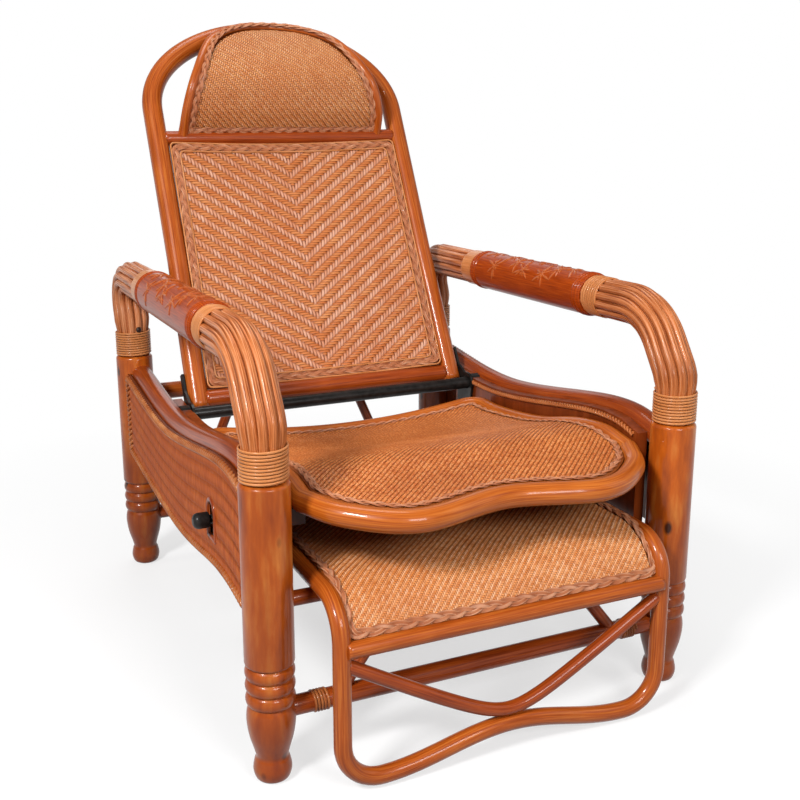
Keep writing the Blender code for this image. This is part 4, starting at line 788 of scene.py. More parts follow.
def cane(name, path, radius, material, body, nodes, sides=24, up=None, loop=False):
    """Sweep a round cane along a path and build it."""
    build(name, sweep(path, radius, sides, up, loop), material, body, nodes, loop=loop)


y = np.linspace(-LEG_Y, LEG_Y, 90)
for side, sign in SIDES:
    path = np.stack([np.full_like(y, sign * RAIL_X), y, rail_top(y) - RAIL_R], -1)
    cane(f"side_rail_{side}_cane", path, RAIL_R, DARK_AND_SHADED_CANE, "chair", (f"side_rail_{side}",), 28,
         Z_AXIS)
x = np.linspace(-LEG_X + TENON, LEG_X - TENON, 60)
for name, y, z, radius, material in CROSS_CANES:
    cane(f"{name}_cane", along_x(x, y, z), radius, material, "chair", (name,))

# %% [markdown]
# A brace is one cane bent twice into a flat arch. It stands on the stretcher and holds up the cane
# above it. A free curve could pass through the same points, but a cane bent over heat stays straight
# between its bends, and so arcs are set at two corners. The stretcher's ends are wound like the arms.

# %% Bend the braces and wind the front stretcher
BRACE_R, BRACE_BEND = 0.009, 0.060
BRACE_FOOT_X, BRACE_TOP_X, FRONT_BRACE_Y = 0.205, 0.120, -0.3697
for end, foot_y in (("front", -LEG_Y), ("rear", LEG_Y)):
    low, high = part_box(f"{end}_arch_brace")
    top_y = FRONT_BRACE_Y if end == "front" else (low.y + high.y) / 2 - SHIFT
    half = np.array([(-BRACE_FOOT_X, foot_y, STRETCHER_Z + 10 * MM), (-BRACE_TOP_X, top_y, high.z - BRACE_R)])
    corners = np.concatenate([half, (half * (-1.0, 1.0, 1.0))[::-1]])
    path = respace(rounded(corners, (BRACE_BEND, BRACE_BEND)), 6 * MM)
    # The braces take the dark cane as painted shade under the seat.
    cane(f"{end}_arch_brace_cane", path, BRACE_R, DARK_AND_SHADED_CANE, "chair", (f"{end}_arch_brace",), 20)

for side, sign in SIDES:
    low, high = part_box(f"stretcher_winding_{side}")
    inner = low.x if sign > 0 else high.x
    coil = winding((inner, -LEG_Y, STRETCHER_Z), sign * X_AXIS, STRETCHER_R + 0.2 * MM,
                   (high.x - low.x) / WIRE_PITCH - 1.0)
    build(f"stretcher_winding_{side}_split", coil, DARK_EDGE, "chair",
          (f"stretcher_winding_{side}",))

# %% [markdown]
# ## Weaving
# A woven mat is two sets of strands, and a table says which set is on top at each crossing. A run of
# crossings where one strand stays on top is a float, the little dash that the eye sees. Each float
# becomes one small arched strip, two faces wide. Whole strands that dive and rise would need many
# more faces, most of them hidden. The same code weaves every mat from its own table, laid on the
# mat's own curved surface by a function surface(u, v, h).

# %% Find the floats of a table
def table(columns, rows):
    """Give the column number and the row number of every crossing."""
    return np.meshgrid(np.arange(columns), np.arange(rows), indexing="ij")


def floats(over):
    """Find runs of True along each row of a table, as (row, first, last + 1)."""
    edge = np.diff(np.pad(over.astype(int), ((0, 0), (1, 1))), axis=1)
    row, first = np.nonzero(edge == 1)
    return row, first, np.nonzero(edge == -1)[1]


def in_outline(x, y, outline):
    """Tell which points are inside a closed outline, by counting the edges crossed to one side."""
    x, y = x[..., None], y[..., None]
    x0, y0 = outline[:, 0], outline[:, 1]
    x1, y1 = np.roll(x0, -1), np.roll(y0, -1)
    with np.errstate(divide="ignore", invalid="ignore"):
        crossing = ((y0 > y) != (y1 > y)) & (x < x0 + (y - y0) * (x1 - x0) / (y1 - y0))
    return crossing.sum(-1) % 2 == 1


ci, ri = table(8, 8)
print("upright floats in a twill of 8 by 8 strands:", len(floats(np.mod(ci - ri, 4) < 2)[0]))

# %% [markdown]
# A float is a small bridge: it rises from under one neighbour and dives under the next. A half sine
# would make it too pointed, so its height is the square root of a sine, flat on top and steep at the
# ends. Each strip gets a random tint, because real strands are split from different canes.

# %% Weave strips from a table
FLOAT_DIVE = 0.30


def strips(over, pitch, lift, flip, width, cuts, lean=None):
    """Arched strips: height = lift (1.5 sqrt(sin pi t) - 0.5 - 0.4 w^2) for t along and w across.

    pitch is (along, across) in metres, width a strip's half width in pitches, and lean(row) how many
    pitches a strip slides sideways over its length. Each end dives 0.3 of a pitch under its neighbour.
    """
    row, first, last = floats(over)
    t = np.linspace(0.0, 1.0, cuts + 1)
    w = np.array([1.0, 0.0, -1.0]) if flip else np.array([-1.0, 0.0, 1.0])
    slide = np.zeros(len(row)) if lean is None else lean(row)
    along = (first - FLOAT_DIVE)[:, None] + t * (last - first + 2 * FLOAT_DIVE)[:, None]
    across = (row + 0.5)[:, None, None] + slide[:, None, None] * (t - 0.5)[:, None] + width * w
    bridge = np.sqrt(np.clip(np.sin(np.pi * t), 0.0, 1.0))[:, None]
    height = lift * (1.5 * bridge - 0.5 - 0.4 * w * w)
    along, across, height, bridge = np.broadcast_arrays(along[:, :, None], across, height, bridge)
    # The last array is painted shade: 1 on a strip's crown, 0 where it dives and 0.45 at its edges.
    return along * pitch[0], across * pitch[1], height, bridge * (1.0 - 0.55 * w * w)


def weave(name, over, inside, pitch, lift, surface, material, body, nodes, flip=False,
          widths=(0.46, 0.46), cuts=4, lean=None, shade=0.75):
    """Weave upright floats where over is True and level floats elsewhere, on the cells that are inside.

    over and inside are (columns, rows) tables, pitch is the metres from column to column and from row
    to row, and surface(u, v, h) gives a point for metres across, metres up and height. flip turns the
    strips round for a surface seen from its other side, and shade is how strongly painted shade
    darkens their ends and edges.
    """
    wide, high = pitch
    up, across, rise, crown = strips(over & inside, (high, wide), lift, flip, widths[0], cuts, lean)
    upright = surface(across, up, rise)
    across, up, rise, level_crown = strips((~over & inside).T, (wide, high), lift, not flip, widths[1], cuts)
    points = np.concatenate([upright, surface(across, up, rise)])
    lifts = np.concatenate([crown, level_crown])
    tint = rng.random((len(points), 1, 1))
    pale = (np.arange(len(points)) < len(upright))[:, None, None]
    print(f"{name}: {len(upright)} upright and {len(points) - len(upright)} level floats")
    build(name, points, material, body, nodes, ring=False,
          marks={"tint": tint, "pale": pale, "lift": 1.0 - shade + shade * lifts})


def edge_plait(name, line, up, size, body, loop=True):
    """Lay a plait of (width, height, pitch) along a line, each of its twelve strands in its own tint."""
    points, high = plait(line, up, *size, loop)
    build(name, points, PLAIT, body, loop=loop,
          marks={"tint": rng.random((12, 1, 1)), "pale": 0.0, "lift": high})


# %% [markdown]
# ## Side panels
# Each side is closed by a dense woven panel between the rail and a waved lower edge. Fine upright
# strands pass behind six waved rows, and a twisted strand edges the panel. The release lever comes
# out through an arched slot near the front leg. The rows follow both waved edges, so the strips are
# placed by their share of the panel's height and not by a square table.

# %% Shape the side panels
PANEL_IN, PANEL_OUT = 0.3118, 0.3198
PANEL_ROWS, PANEL_STRAND, PANEL_CUTS, PANEL_STAGGER = 7, 0.0023, 6, 0.10
SLOT_Y, SLOT_HALF, SLOT_LOW, SLOT_TOP = -0.198, 0.014, 0.263, 0.311
PANEL_FRONT, PANEL_REAR = -LEG_Y + 6 * MM, LEG_Y - 6 * MM
panel_low = heights([(-0.375, 0.215), (-0.235, 0.227), (0.010, 0.204), (0.375, 0.226)])


def panel_top(y):
    """The panel's upper edge, hidden behind the round of the rail."""
    return rail_top(y) - 14 * MM


def slot_head(y):
    """Height of the slot's round head at y, or its foot outside the slot."""
    inside = np.clip(SLOT_HALF ** 2 - (y - SLOT_Y) ** 2, 0.0, None)
    return np.where(inside > 0, SLOT_TOP - SLOT_HALF + np.sqrt(inside), SLOT_LOW)


def panel_ground(sign, first, last, low, high):
    """A closed sheet from one y to another between two edges: a ring of 4 points at each y."""
    y = np.linspace(first, last, 60)
    inner, outer = PANEL_IN + 0.6 * MM, PANEL_OUT - 1.8 * MM
    ring = [(inner, low(y)), (outer, low(y)), (outer, high(y)), (inner, high(y))]
    grid = np.stack([np.stack([np.full_like(y, sign * x), y, z], -1) for x, z in ring], 1)
    return grid if sign > 0 else grid[:, ::-1]


def panel_strips(sign):
    """Upright strips from row to row: z = low + (high - low) share, with odd columns a little higher.

    A strip that is wholly in the slot is left out, and one that is partly in it stops at its edge.
    """
    columns = np.arange(PANEL_FRONT, PANEL_REAR, PANEL_STRAND)
    col, row = (a.ravel() for a in table(len(columns), PANEL_ROWS))
    t = np.linspace(0.0, 1.0, PANEL_CUTS + 1)
    w = np.array([-1.0, 0.0, 1.0]) * sign
    stagger = PANEL_STAGGER * np.where(col % 2, 1.0, -1.0)
    share = np.clip((row + stagger)[:, None] + t, 0.0, PANEL_ROWS) / PANEL_ROWS
    y = columns[col][:, None, None] + 0.47 * PANEL_STRAND * w + np.zeros((1, len(t), 1))
    low, high = panel_low(y), panel_top(y)
    z = low + (high - low) * share[:, :, None]
    bridge = np.sqrt(np.sin(np.pi * np.clip(t, 0.02, 0.98)))[:, None]
    x = sign * (PANEL_OUT + (-1.6 + 1.8 * bridge - 0.7 * w * w) * MM) + 0 * y
    near = np.abs(y - SLOT_Y) < SLOT_HALF + MM
    blocked = near & (z > SLOT_LOW - MM) & (z < slot_head(y) + MM)
    below = z < (SLOT_LOW + SLOT_TOP) / 2
    edge = np.where(below, np.minimum(z, SLOT_LOW), np.maximum(z, slot_head(y)))
    keep = ~blocked.all((1, 2))
    points = np.stack([x, y, np.where(blocked, edge, z)], -1)
    return points[keep], np.broadcast_to(bridge, y.shape)[keep]


print(f"panels {(panel_top(0.0) - panel_low(0.0)) / MM:.0f} mm high in the middle")

# %% [markdown]
# Behind the strips lies a closed sheet, in four pieces round the slot, coloured dark as painted shade
# between the strips. It could be one sheet with a hole cut into it, but four plain grids need no
# cutting. The strips go on the outer face only, because boards under the rails hide most of the inner
# one.

# %% Weave the side panels
for side, sign in SIDES:
    front, rear = SLOT_Y - SLOT_HALF, SLOT_Y + SLOT_HALF
    grids = [panel_ground(sign, PANEL_FRONT, front, panel_low, panel_top),
             panel_ground(sign, rear, PANEL_REAR, panel_low, panel_top),
             panel_ground(sign, front, rear, panel_low, lambda y: np.full_like(y, SLOT_LOW)),
             panel_ground(sign, front, rear, slot_head, panel_top)]
    build(f"side_panel_{side}_ground", np.stack(grids), SHADE_GROUND, "chair",
          (f"side_panel_{side}",))
    points, bridge = panel_strips(sign)
    # The lift mark is painted shade: each strip darkens towards the row lines, where it passes behind.
    marks = {"tint": rng.random((len(points), 1, 1)), "pale": 0.0, "lift": 0.15 + 0.85 * bridge}
    build(f"side_panel_{side}_weave", points, PANEL_WEAVE, "chair", (f"side_panel_{side}",),
          ring=False, marks=marks)

# %% [markdown]
# The edging is two strands twisted together. It follows the panel's outline and the inner board
# under the rail, and a single split strand rims the slot. A twisted texture on one tube would be
# lighter, but two real strands catch the light along each turn.

# %% Edge the sides
EDGE_IN, EDGE_LOW, EDGE_TOP, EDGE_OUT = 30 * MM, 4 * MM, 5 * MM, PANEL_OUT - 0.5 * MM
RIM_R = 3.4 * MM
RIM_OUT, RIM_HALF = PANEL_OUT - 1 * MM, SLOT_HALF + RIM_R
BOARD_X, BOARD_FRONT, BOARD_REAR, BOARD_DROP = 0.2572, -0.340, 0.190, 20.5 * MM


def twisted_edge(name, line, sign, radius=5.4 * MM, pitch=18 * MM):
    """Lay two twisted strands along a line on one side of the chair."""
    build(name, rope(line, sign * X_AXIS, radius, pitch), DARK_EDGE, "chair")


for side, sign in SIDES:
    y = np.linspace(PANEL_FRONT + EDGE_IN, PANEL_REAR - EDGE_IN, 300)
    low, top = panel_low(y) + EDGE_LOW, panel_top(y) - EDGE_TOP
    for name, z in (("lower", low), ("upper", top)):
        line = np.stack([np.full_like(y, sign * EDGE_OUT), y, z], -1)
        twisted_edge(f"side_panel_{side}_{name}_edge", respace(line, 1.8 * MM), sign)
    z = np.linspace(low[-1], top[-1], 80)
    line = np.stack([np.full_like(z, sign * EDGE_OUT), np.full_like(z, y[-1]), z], -1)
    twisted_edge(f"side_panel_{side}_rear_edge", line, sign)
    a = np.linspace(0.0, np.pi, 24)
    head = np.stack([SLOT_Y + RIM_HALF * np.cos(a), SLOT_TOP - SLOT_HALF + RIM_HALF * np.sin(a)], -1)
    rim = np.concatenate([[(head[0, 0], SLOT_LOW - RIM_R)], head, [(head[-1, 0], SLOT_LOW - RIM_R)]])
    rim = respace(np.insert(rim, 0, sign * RIM_OUT, 1), 2 * MM, loop=True)
    build(f"side_panel_{side}_slot_rim", sweep(rim, RIM_R, 8, X_AXIS, True), DARK_AND_SHADED_CANE, "chair",
          loop=True)
    y = np.linspace(BOARD_FRONT, BOARD_REAR, 300)
    line = np.stack([np.full_like(y, sign * BOARD_X), y, rail_top(y) - BOARD_DROP], -1)
    twisted_edge(f"side_board_{side}_edge", respace(line, 1.4 * MM), sign, 3.8 * MM, 14 * MM)

# %% [markdown]
# ## Seat
# The seat is a bent cane frame with two lobes at the front, and a mat woven over it in a fine
# diagonal twill. The seat dips behind its front crest, and its middle hangs a little lower still.
# A formula for that height lets the frame, the mat and the plait share one surface.

# %% Bend the seat frame
SEAT_X, SEAT_R, SEAT_REAR_Y, SEAT_CORNER_Y = 0.2439, 0.015, 0.094, -0.350
SEAT_SAG, SEAT_REAR_BEND = 22 * MM, 30 * MM
SEAT_LOBE = [(SEAT_X, SEAT_CORNER_Y), (SEAT_X - 0.035, SEAT_CORNER_Y - 0.058), (0.130, -0.452)]
SEAT_NOTCH = (0.0, -0.428)
seat_height = heights([(-0.452, 0.344), (-0.350, 0.352), (-0.290, 0.360), (-0.219, 0.352), (-0.107, 0.326),
                       (0.022, 0.311), (0.094, 0.313)])


def on_seat(x, y, rise):
    """A point above the seat frame: the long wave less a sag that is deepest at the rear middle."""
    along = np.clip((y - SEAT_CORNER_Y) / (SEAT_REAR_Y - SEAT_CORNER_Y), 0.0, 1.0)
    sag = SEAT_SAG * along ** 2 * (1 - (x / SEAT_X) ** 2)
    return np.stack([x, y, seat_height(y) - sag + rise], -1)


def seat_plan():
    """The frame's axis seen from above, counter-clockwise from the rear middle."""
    front = spline(mirrored(np.array(SEAT_LOBE + [SEAT_NOTCH])), 16)[:len(SEAT_LOBE) * 16 + 1]
    rear = rounded([(0.0, SEAT_REAR_Y), (SEAT_X, SEAT_REAR_Y), (SEAT_X, SEAT_CORNER_Y)], (SEAT_REAR_BEND,))
    right = np.concatenate([rear[:-1], front])
    whole = np.concatenate([right, (right * (-1.0, 1.0))[-2:0:-1]])
    return respace(whole[::-1], 6 * MM, loop=True)


def inset(plan, distance):
    """Move a counter-clockwise plan inwards."""
    along = unit(np.roll(plan, -1, 0) - np.roll(plan, 1, 0))
    return plan + np.stack([-along[:, 1], along[:, 0]], -1) * distance


plan = seat_plan()
cane("seat_frame_cane", on_seat(*plan.T, 0.0), SEAT_R, RIM, "chair", ("seat_frame",), 28,
     Z_AXIS, True)

# %% [markdown]
# The mat is a ground sheet with strips woven over it and a plait laid along the frame. The sheet
# stands for the strands underneath and keeps light from coming through, and its dark colour is
# painted shade between the strips. The table of a 2/2 twill steps one strand sideways in each row:
# over where (column - row) mod 4 is 0 or 1.

# %% Weave the seat
SEAT_PITCH, SEAT_RISE, SEAT_WALL, GROUND_DROP = 2.1 * MM, 10 * MM, 7 * MM, 0.8 * MM
SEAT_MIDDLE = np.array([0.0, (SEAT_REAR_Y + SEAT_CORNER_Y) / 2])
SEAT_PLAIT = (5.8 * MM, 2.4 * MM, 56 * MM)
RING_SHARES = np.linspace(0.02, 1.0, 24)
PLAIT_RING = 3 * MM


def filled(outline, middle, surface, low, top):
    """A thin closed sheet: rings of an outline, out from its middle underneath and back on top."""
    rings = [(middle + (outline - middle) * share).T for share in RING_SHARES]
    return np.stack([surface(*ring, low) for ring in rings] + [surface(*ring, top) for ring in rings[::-1]])


ground = filled(inset(plan, SEAT_R - 0.6 * MM), SEAT_MIDDLE, on_seat, SEAT_RISE - SEAT_WALL,
                SEAT_RISE - GROUND_DROP)
build("seat_mat_ground", ground, WARM_SHADE_GROUND, "chair", ("seat_mat",))

SEAT_Y0 = -0.470
ci, ri = table(int(2 * SEAT_X / SEAT_PITCH), int((SEAT_REAR_Y - SEAT_Y0) / SEAT_PITCH))
SEAT_X0 = -len(ci) * SEAT_PITCH / 2
inside = in_outline(SEAT_X0 + (ci + 0.5) * SEAT_PITCH, SEAT_Y0 + (ri + 0.5) * SEAT_PITCH,
                    inset(plan, SEAT_R + 5 * MM))
weave("seat_mat_weave", np.mod(ci - ri, 4) < 2, inside, (SEAT_PITCH, SEAT_PITCH), 0.8 * MM,
      lambda u, v, h: on_seat(SEAT_X0 + u, SEAT_Y0 + v, SEAT_RISE + h), FINE_WEAVE, "chair", ("seat_mat",),
      cuts=2, widths=(0.41, 0.41), shade=0.30)
border = respace(inset(plan, SEAT_R + 5.5 * MM), PLAIT_RING, loop=True)
edge_plait("seat_mat_plait", on_seat(*border.T, SEAT_RISE + 1.4 * MM), Z_AXIS, SEAT_PLAIT, "chair")

# %% [markdown]
# ## Backrest
# The backrest is a long cane bent into an arch, with a rail at the foot and a crossbar under the
# head. It leans back by 27.85 degrees and turns on a steel tube. A point of it is given by x, the
# distance s up the slope and the distance forward of the stiles, so the lean is written only once.

# %% Bend the backrest's canes
BACK_LEAN = math.radians(27.85)
BACK_FOOT = np.array([0.0, 0.1783, 0.3361])
BACK_UP = np.array([0.0, math.sin(BACK_LEAN), math.cos(BACK_LEAN)])
BACK_FRONT = np.array([0.0, -math.cos(BACK_LEAN), math.sin(BACK_LEAN)])
STILE_R, STILE_X, STILE_FOOT_X, STILE_STRAIGHT_S = 0.0175, 0.2310, 0.2355, 0.260
ARCH_S, ARCH_HIGH = 0.545, 0.159
RAIL_S, RAIL_HALF, BACK_RAIL_R = 0.015, 0.224, 0.015
CROSSBAR_S, CROSSBAR_SHARE, BAR_R = 0.490, 0.985, 0.013


def on_back(x, s, forward):
    """A point of the backrest from across, up the slope and forward, for arrays of one shape."""
    x, s, forward = np.broadcast_arrays(x, s, forward)
    return BACK_FOOT + x[..., None] * X_AXIS + s[..., None] * BACK_UP + forward[..., None] * BACK_FRONT


def stile_half(s):
    """Distance of a stile's axis from the middle."""
    return np.interp(s, (0.0, STILE_STRAIGHT_S), (STILE_FOOT_X, STILE_X))


s = np.linspace(0.0, ARCH_S, 80)
a = np.linspace(0.0, np.pi, 90)[1:-1]
arch = np.stack([STILE_X * np.cos(a), ARCH_S + ARCH_HIGH * np.sin(a)], -1)
half = np.stack([stile_half(s), s], -1)
outline = np.concatenate([half, arch, (half * (-1.0, 1.0))[::-1]])
path = respace(on_back(*outline.T, 0.0), 8 * MM)
cane("back_frame_cane", path, STILE_R, CANE, "backrest", ("back_frame",), 28, BACK_FRONT)
x = np.linspace(-RAIL_HALF, RAIL_HALF, 60)
cane("back_bottom_rail_cane", on_back(x, RAIL_S, 0.0), BACK_RAIL_R, DARK_AND_SHADED_CANE, "backrest",
     ("back_bottom_rail",))
cane("back_crossbar_cane", on_back(x * CROSSBAR_SHARE, CROSSBAR_S, 0.0), BAR_R, DARK_AND_SHADED_CANE, "backrest",
     ("back_crossbar",))

# %% [markdown]
# The back's mat is a chevron twill. The table is over where (row - |column - middle|) mod 6 is
# below 3, so pale upright floats three strands long stand in bands that point down at the middle.
# The uprights lean a little to the side their band climbs. The mat is hollowed by 12 mm across. It
# is woven on both faces, because the chair is also seen from behind, and a plait frames the front.

# %% Weave the back
BACK_WIDE, BACK_HIGH, BACK_COLUMNS = 6.0 * MM, 4.5 * MM, 72
MAT_LOW, MAT_HIGH, MAT_FORWARD, MAT_HOLLOW, MAT_WALL = 0.0303, 0.4767, 0.010, 0.012, 0.008
MAT_EDGE = 10 * MM
BACK_X0 = -BACK_COLUMNS * BACK_WIDE / 2


def mat_half(s):
    """Half the mat's width at a height, between the stiles."""
    return stile_half(s) - STILE_R


def on_mat(x, s, h):
    """A point h in front of the mat's face, which is hollow across and highest at its edges."""
    return on_back(x, s, MAT_FORWARD - MAT_HOLLOW * (1 - (x / mat_half(s)) ** 2) + h)


def sheet(surface, x, v, top, low):
    """A thin closed sheet over a grid: each row runs across on top and back underneath."""
    x, v = np.broadcast_arrays(x, v)
    return np.concatenate([surface(x, v, top), surface(x[:, ::-1], v, low)], 1)


# The ground sheet is dark as painted shade between the strips.
s = np.linspace(MAT_LOW, MAT_HIGH, 40)[:, None]
ground = sheet(on_mat, mat_half(s) * np.linspace(-1.0, 1.0, 30), s, -GROUND_DROP, -MAT_WALL + GROUND_DROP)
build("back_mat_ground", ground, SHADE_GROUND, "backrest", ("back_mat",))

ci, ri = table(BACK_COLUMNS, int((MAT_HIGH - MAT_LOW) / BACK_HIGH))
chevron = np.mod(ri - np.abs(ci - BACK_COLUMNS // 2), 6) < 3
cell_x, cell_s = BACK_X0 + (ci + 0.5) * BACK_WIDE, MAT_LOW + (ri + 0.5) * BACK_HIGH
inside = np.abs(cell_x) < mat_half(cell_s) - MAT_EDGE
inside &= (cell_s > MAT_LOW + MAT_EDGE) & (cell_s < MAT_HIGH - MAT_EDGE)
weave("back_mat_weave", chevron, inside, (BACK_WIDE, BACK_HIGH), 1.2 * MM,
      lambda u, v, h: on_mat(BACK_X0 + u, MAT_LOW + v, h), BACK_WEAVE, "backrest", ("back_mat",),
      widths=(0.38, 0.45), shade=0.74, lean=lambda row: 0.5 * np.sign(row - BACK_COLUMNS // 2))
weave("back_mat_reverse", ~chevron, inside, (BACK_WIDE, BACK_HIGH), 0.8 * MM,
      lambda u, v, h: on_mat(BACK_X0 + u, MAT_LOW + v, -MAT_WALL - h), FINE_WEAVE, "backrest", ("back_mat",),
      flip=True)

# %% [markdown]
# A plait of split rattan hides the ends of the strands all round the mat, between two thin strands.
# An image of a plait would stretch at the corners. Here it is twelve real strands in three bundles,
# and each of them follows the mat's outline round the bend.

# %% Frame the back with a plait
BORDER_BEND, BORDER_RISE, EDGE_STRAND_R = 8 * MM, 2.2 * MM, 1.6 * MM
BACK_PLAIT, BACK_PLAIT_IN = (7.6 * MM, 2.8 * MM, 70 * MM), 7.8 * MM


def frame_border(away):
    """The mat's outline moved inwards, with small round corners, as points on the mat's face."""
    low, high = MAT_LOW + away, MAT_HIGH - away
    corners = [(0.0, low), (mat_half(low) - away, low), (mat_half(high) - away, high),
               (-mat_half(high) + away, high), (-mat_half(low) + away, low), (0.0, low)]
    flat = respace(rounded(corners, (BORDER_BEND,) * 4, 6), PLAIT_RING)[:-1]
    return on_mat(*flat.T, BORDER_RISE)


edge_plait("back_mat_plait", frame_border(BACK_PLAIT_IN), BACK_FRONT, BACK_PLAIT, "backrest")
for turn, away in ((1, 0.4 * MM), (2, 15.8 * MM)):
    strand = sweep(frame_border(away), EDGE_STRAND_R, 7, BACK_FRONT, True)
    build(f"back_mat_edge_strand_{turn}", strand, EDGE, "backrest", loop=True)

# %% [markdown]
# ## Headrest
# A thin cane springs from the crossbar, swells forward and closes under the arch. Its mat follows
# the cane: seen from the side the mat is a curve forward(s), and the strands are laid by length
# along that curve, so they keep their size where it is steep.

# %% Bend the headrest's cane
HEAD_R, HEAD_TOP_S, HEAD_SWELL = 0.008, 0.700, 0.071
HEAD_TOP = STILE_R + HEAD_R + 0.6 * MM
HEAD_EDGE = [(0.186, CROSSBAR_S, 0.0), (0.1815, 0.526, 0.0469), (0.161, 0.580, HEAD_SWELL),
             (0.1191, 0.6544, HEAD_TOP + (HEAD_SWELL - HEAD_TOP) * 0.62),
             (0.0580, 0.6916, HEAD_TOP + (HEAD_SWELL - HEAD_TOP) * 0.16), (0.0, HEAD_TOP_S, HEAD_TOP)]
head_edge = spline(HEAD_EDGE, 24)
path = respace(on_back(*mirrored(head_edge).T), 5 * MM)
rings = np.arange(len(path))
flare = HEAD_R * (1.0 + 0.45 * np.exp(-np.minimum(rings, rings[::-1]) / 2.5))
cane("headrest_frame_cane", path, flare, CANE, "backrest", ("headrest_frame",), 20,
     BACK_FRONT)

# %% [markdown]
# The headrest's twill runs the other way from the seat's: over where (column + row) mod 4 is 0 or 1.
# The mat could be bent after it is woven, with a modifier. Here it is drawn as a flat plan, of width
# by length along the curve, and each point is laid on the curve as it is made.

# %% Weave the headrest
HEAD_PITCH, HEAD_WALL = 0.0029, 6.8 * MM
HEAD_PLAIT = (7.2 * MM, 2.8 * MM, 66 * MM)
HEAD_MIDDLE = np.array([0.0, 0.11])
head_s = np.linspace(CROSSBAR_S, HEAD_TOP_S, 400)
head_f = np.interp(head_s, head_edge[:, 1], head_edge[:, 2])
head_arc = run(np.stack([head_s, head_f], -1))
head_tilt = np.gradient(head_f, head_s)


def on_head(u, v, h):
    """A point of the headrest from across, length up its curve, and height along the curve's normal."""
    s, f, slope = (np.interp(v, head_arc, values) for values in (head_s, head_f, head_tilt))
    fall = h / np.hypot(1.0, slope)
    return on_back(u, s - slope * fall, f + fall)


head_plan = mirrored(np.stack([head_edge[:, 0], np.interp(head_edge[:, 1], head_s, head_arc)], -1))
head_plan[:, 1] = np.maximum(head_plan[:, 1], BAR_R - HEAD_R)
head_plan = respace(head_plan, 4 * MM, loop=True)
# The ground sheet is dark as painted shade between the strips.
ground = filled(inset(head_plan, HEAD_R - 2 * MM), HEAD_MIDDLE, on_head, -HEAD_WALL + GROUND_DROP,
                -GROUND_DROP)
build("headrest_mat_ground", ground, SHADE_GROUND, "backrest", ("headrest_mat",))

ci, ri = table(int(2 * HEAD_EDGE[0][0] / HEAD_PITCH), int(head_arc[-1] / HEAD_PITCH))
twill = np.mod(ci + ri, 4) < 2
HEAD_X0 = -len(ci) * HEAD_PITCH / 2
inside = in_outline(HEAD_X0 + (ci + 0.5) * HEAD_PITCH, (ri + 0.5) * HEAD_PITCH,
                    inset(head_plan, HEAD_R + 6 * MM))
weave("headrest_mat_weave", twill, inside, (HEAD_PITCH, HEAD_PITCH), 0.9 * MM,
      lambda u, v, h: on_head(HEAD_X0 + u, v, h), HEAD_WEAVE, "backrest", ("headrest_mat",),
      widths=(0.39, 0.39), cuts=3, shade=0.86)
weave("headrest_mat_reverse", ~twill, inside, (HEAD_PITCH, HEAD_PITCH), 0.8 * MM,
      lambda u, v, h: on_head(HEAD_X0 + u, v, -HEAD_WALL - h), FINE_WEAVE, "backrest", ("headrest_mat",),
      flip=True, cuts=2)

# %% [markdown]
# The headrest's plait lies inside the cane low down and climbs onto it towards the top, as the
# binding does on the real chair. It needs its own up direction, from a second line 18 mm higher.

# %% Plait the headrest's edge
CLIMB, PLAIT_INSET, PLAIT_LIFT = (0.10, 0.22), (3.5 * MM, -3.5 * MM), (3 * MM, 7 * MM)
climb = np.interp(head_plan[:, 1], CLIMB, PLAIT_INSET)[:, None]
border = respace(inset(head_plan, HEAD_R + climb), PLAIT_RING, loop=True)
line = on_head(*border.T, np.interp(border[:, 1], CLIMB, PLAIT_LIFT))
edge_plait("headrest_mat_plait", line, on_head(*border.T, 18 * MM) - line, HEAD_PLAIT, "backrest")

# %% [markdown]
# ## Footrest
# The footrest slides out from under the seat. One cane runs forward, bends down to the floor, waves
# along it and comes back on the other side. A V-shaped brace stands in the loop, and a mat is
# stretched from the rear over the front bend to a bar. The loop is one path, as the real cane is.

# %% Bend the footrest's canes
FOOT_HALF, FOOT_R, FOOT_Z, FOOT_Y, FOOT_REAR = 0.2340, 0.0115, 0.2518, -0.450, 0.080
FOOT_LOW, FOOT_CORNER, FOOT_HUMP, FOOT_BEND = 0.0145, 0.182, 0.027, 0.050
BAR_Y, BAR_Z, CROSS_R = -0.455, 0.196, 0.008
V_R, V_TOP, V_ROUND = 0.009, 0.178, 0.045
FOOT_BARS = (("footrest_bar", BAR_Y, BAR_Z, 0.011), ("footrest_middle_bar", -0.290, FOOT_Z, CROSS_R),
             ("footrest_rear_bar", FOOT_REAR - 16 * MM, FOOT_Z, CROSS_R))

side_line = rounded([(FOOT_REAR, FOOT_Z), (FOOT_Y, FOOT_Z), (FOOT_Y, 0.0)], (FOOT_BEND,), 16)[:-1]
bend = FOOT_HALF - FOOT_CORNER
a = np.linspace(0.0, np.pi / 2, 16)
corner = along_x(FOOT_CORNER + bend * np.cos(a), FOOT_Y, FOOT_LOW)
corner[:, 2] += bend * (1 - np.sin(a))
right = np.concatenate([np.insert(side_line, 0, FOOT_HALF, 1), corner])
x = np.linspace(FOOT_CORNER, -FOOT_CORNER, 80)[1:-1]
wave = along_x(x, FOOT_Y, FOOT_LOW)
wave[:, 2] += FOOT_HUMP * (0.5 + 0.5 * np.cos(np.pi * x / FOOT_CORNER))
path = respace(np.concatenate([right, wave, (right * (-1.0, 1.0, 1.0))[::-1]]), 7 * MM)
cane("footrest_loop_cane", path, FOOT_R, CANE, "footrest", ("footrest_loop",), 20)

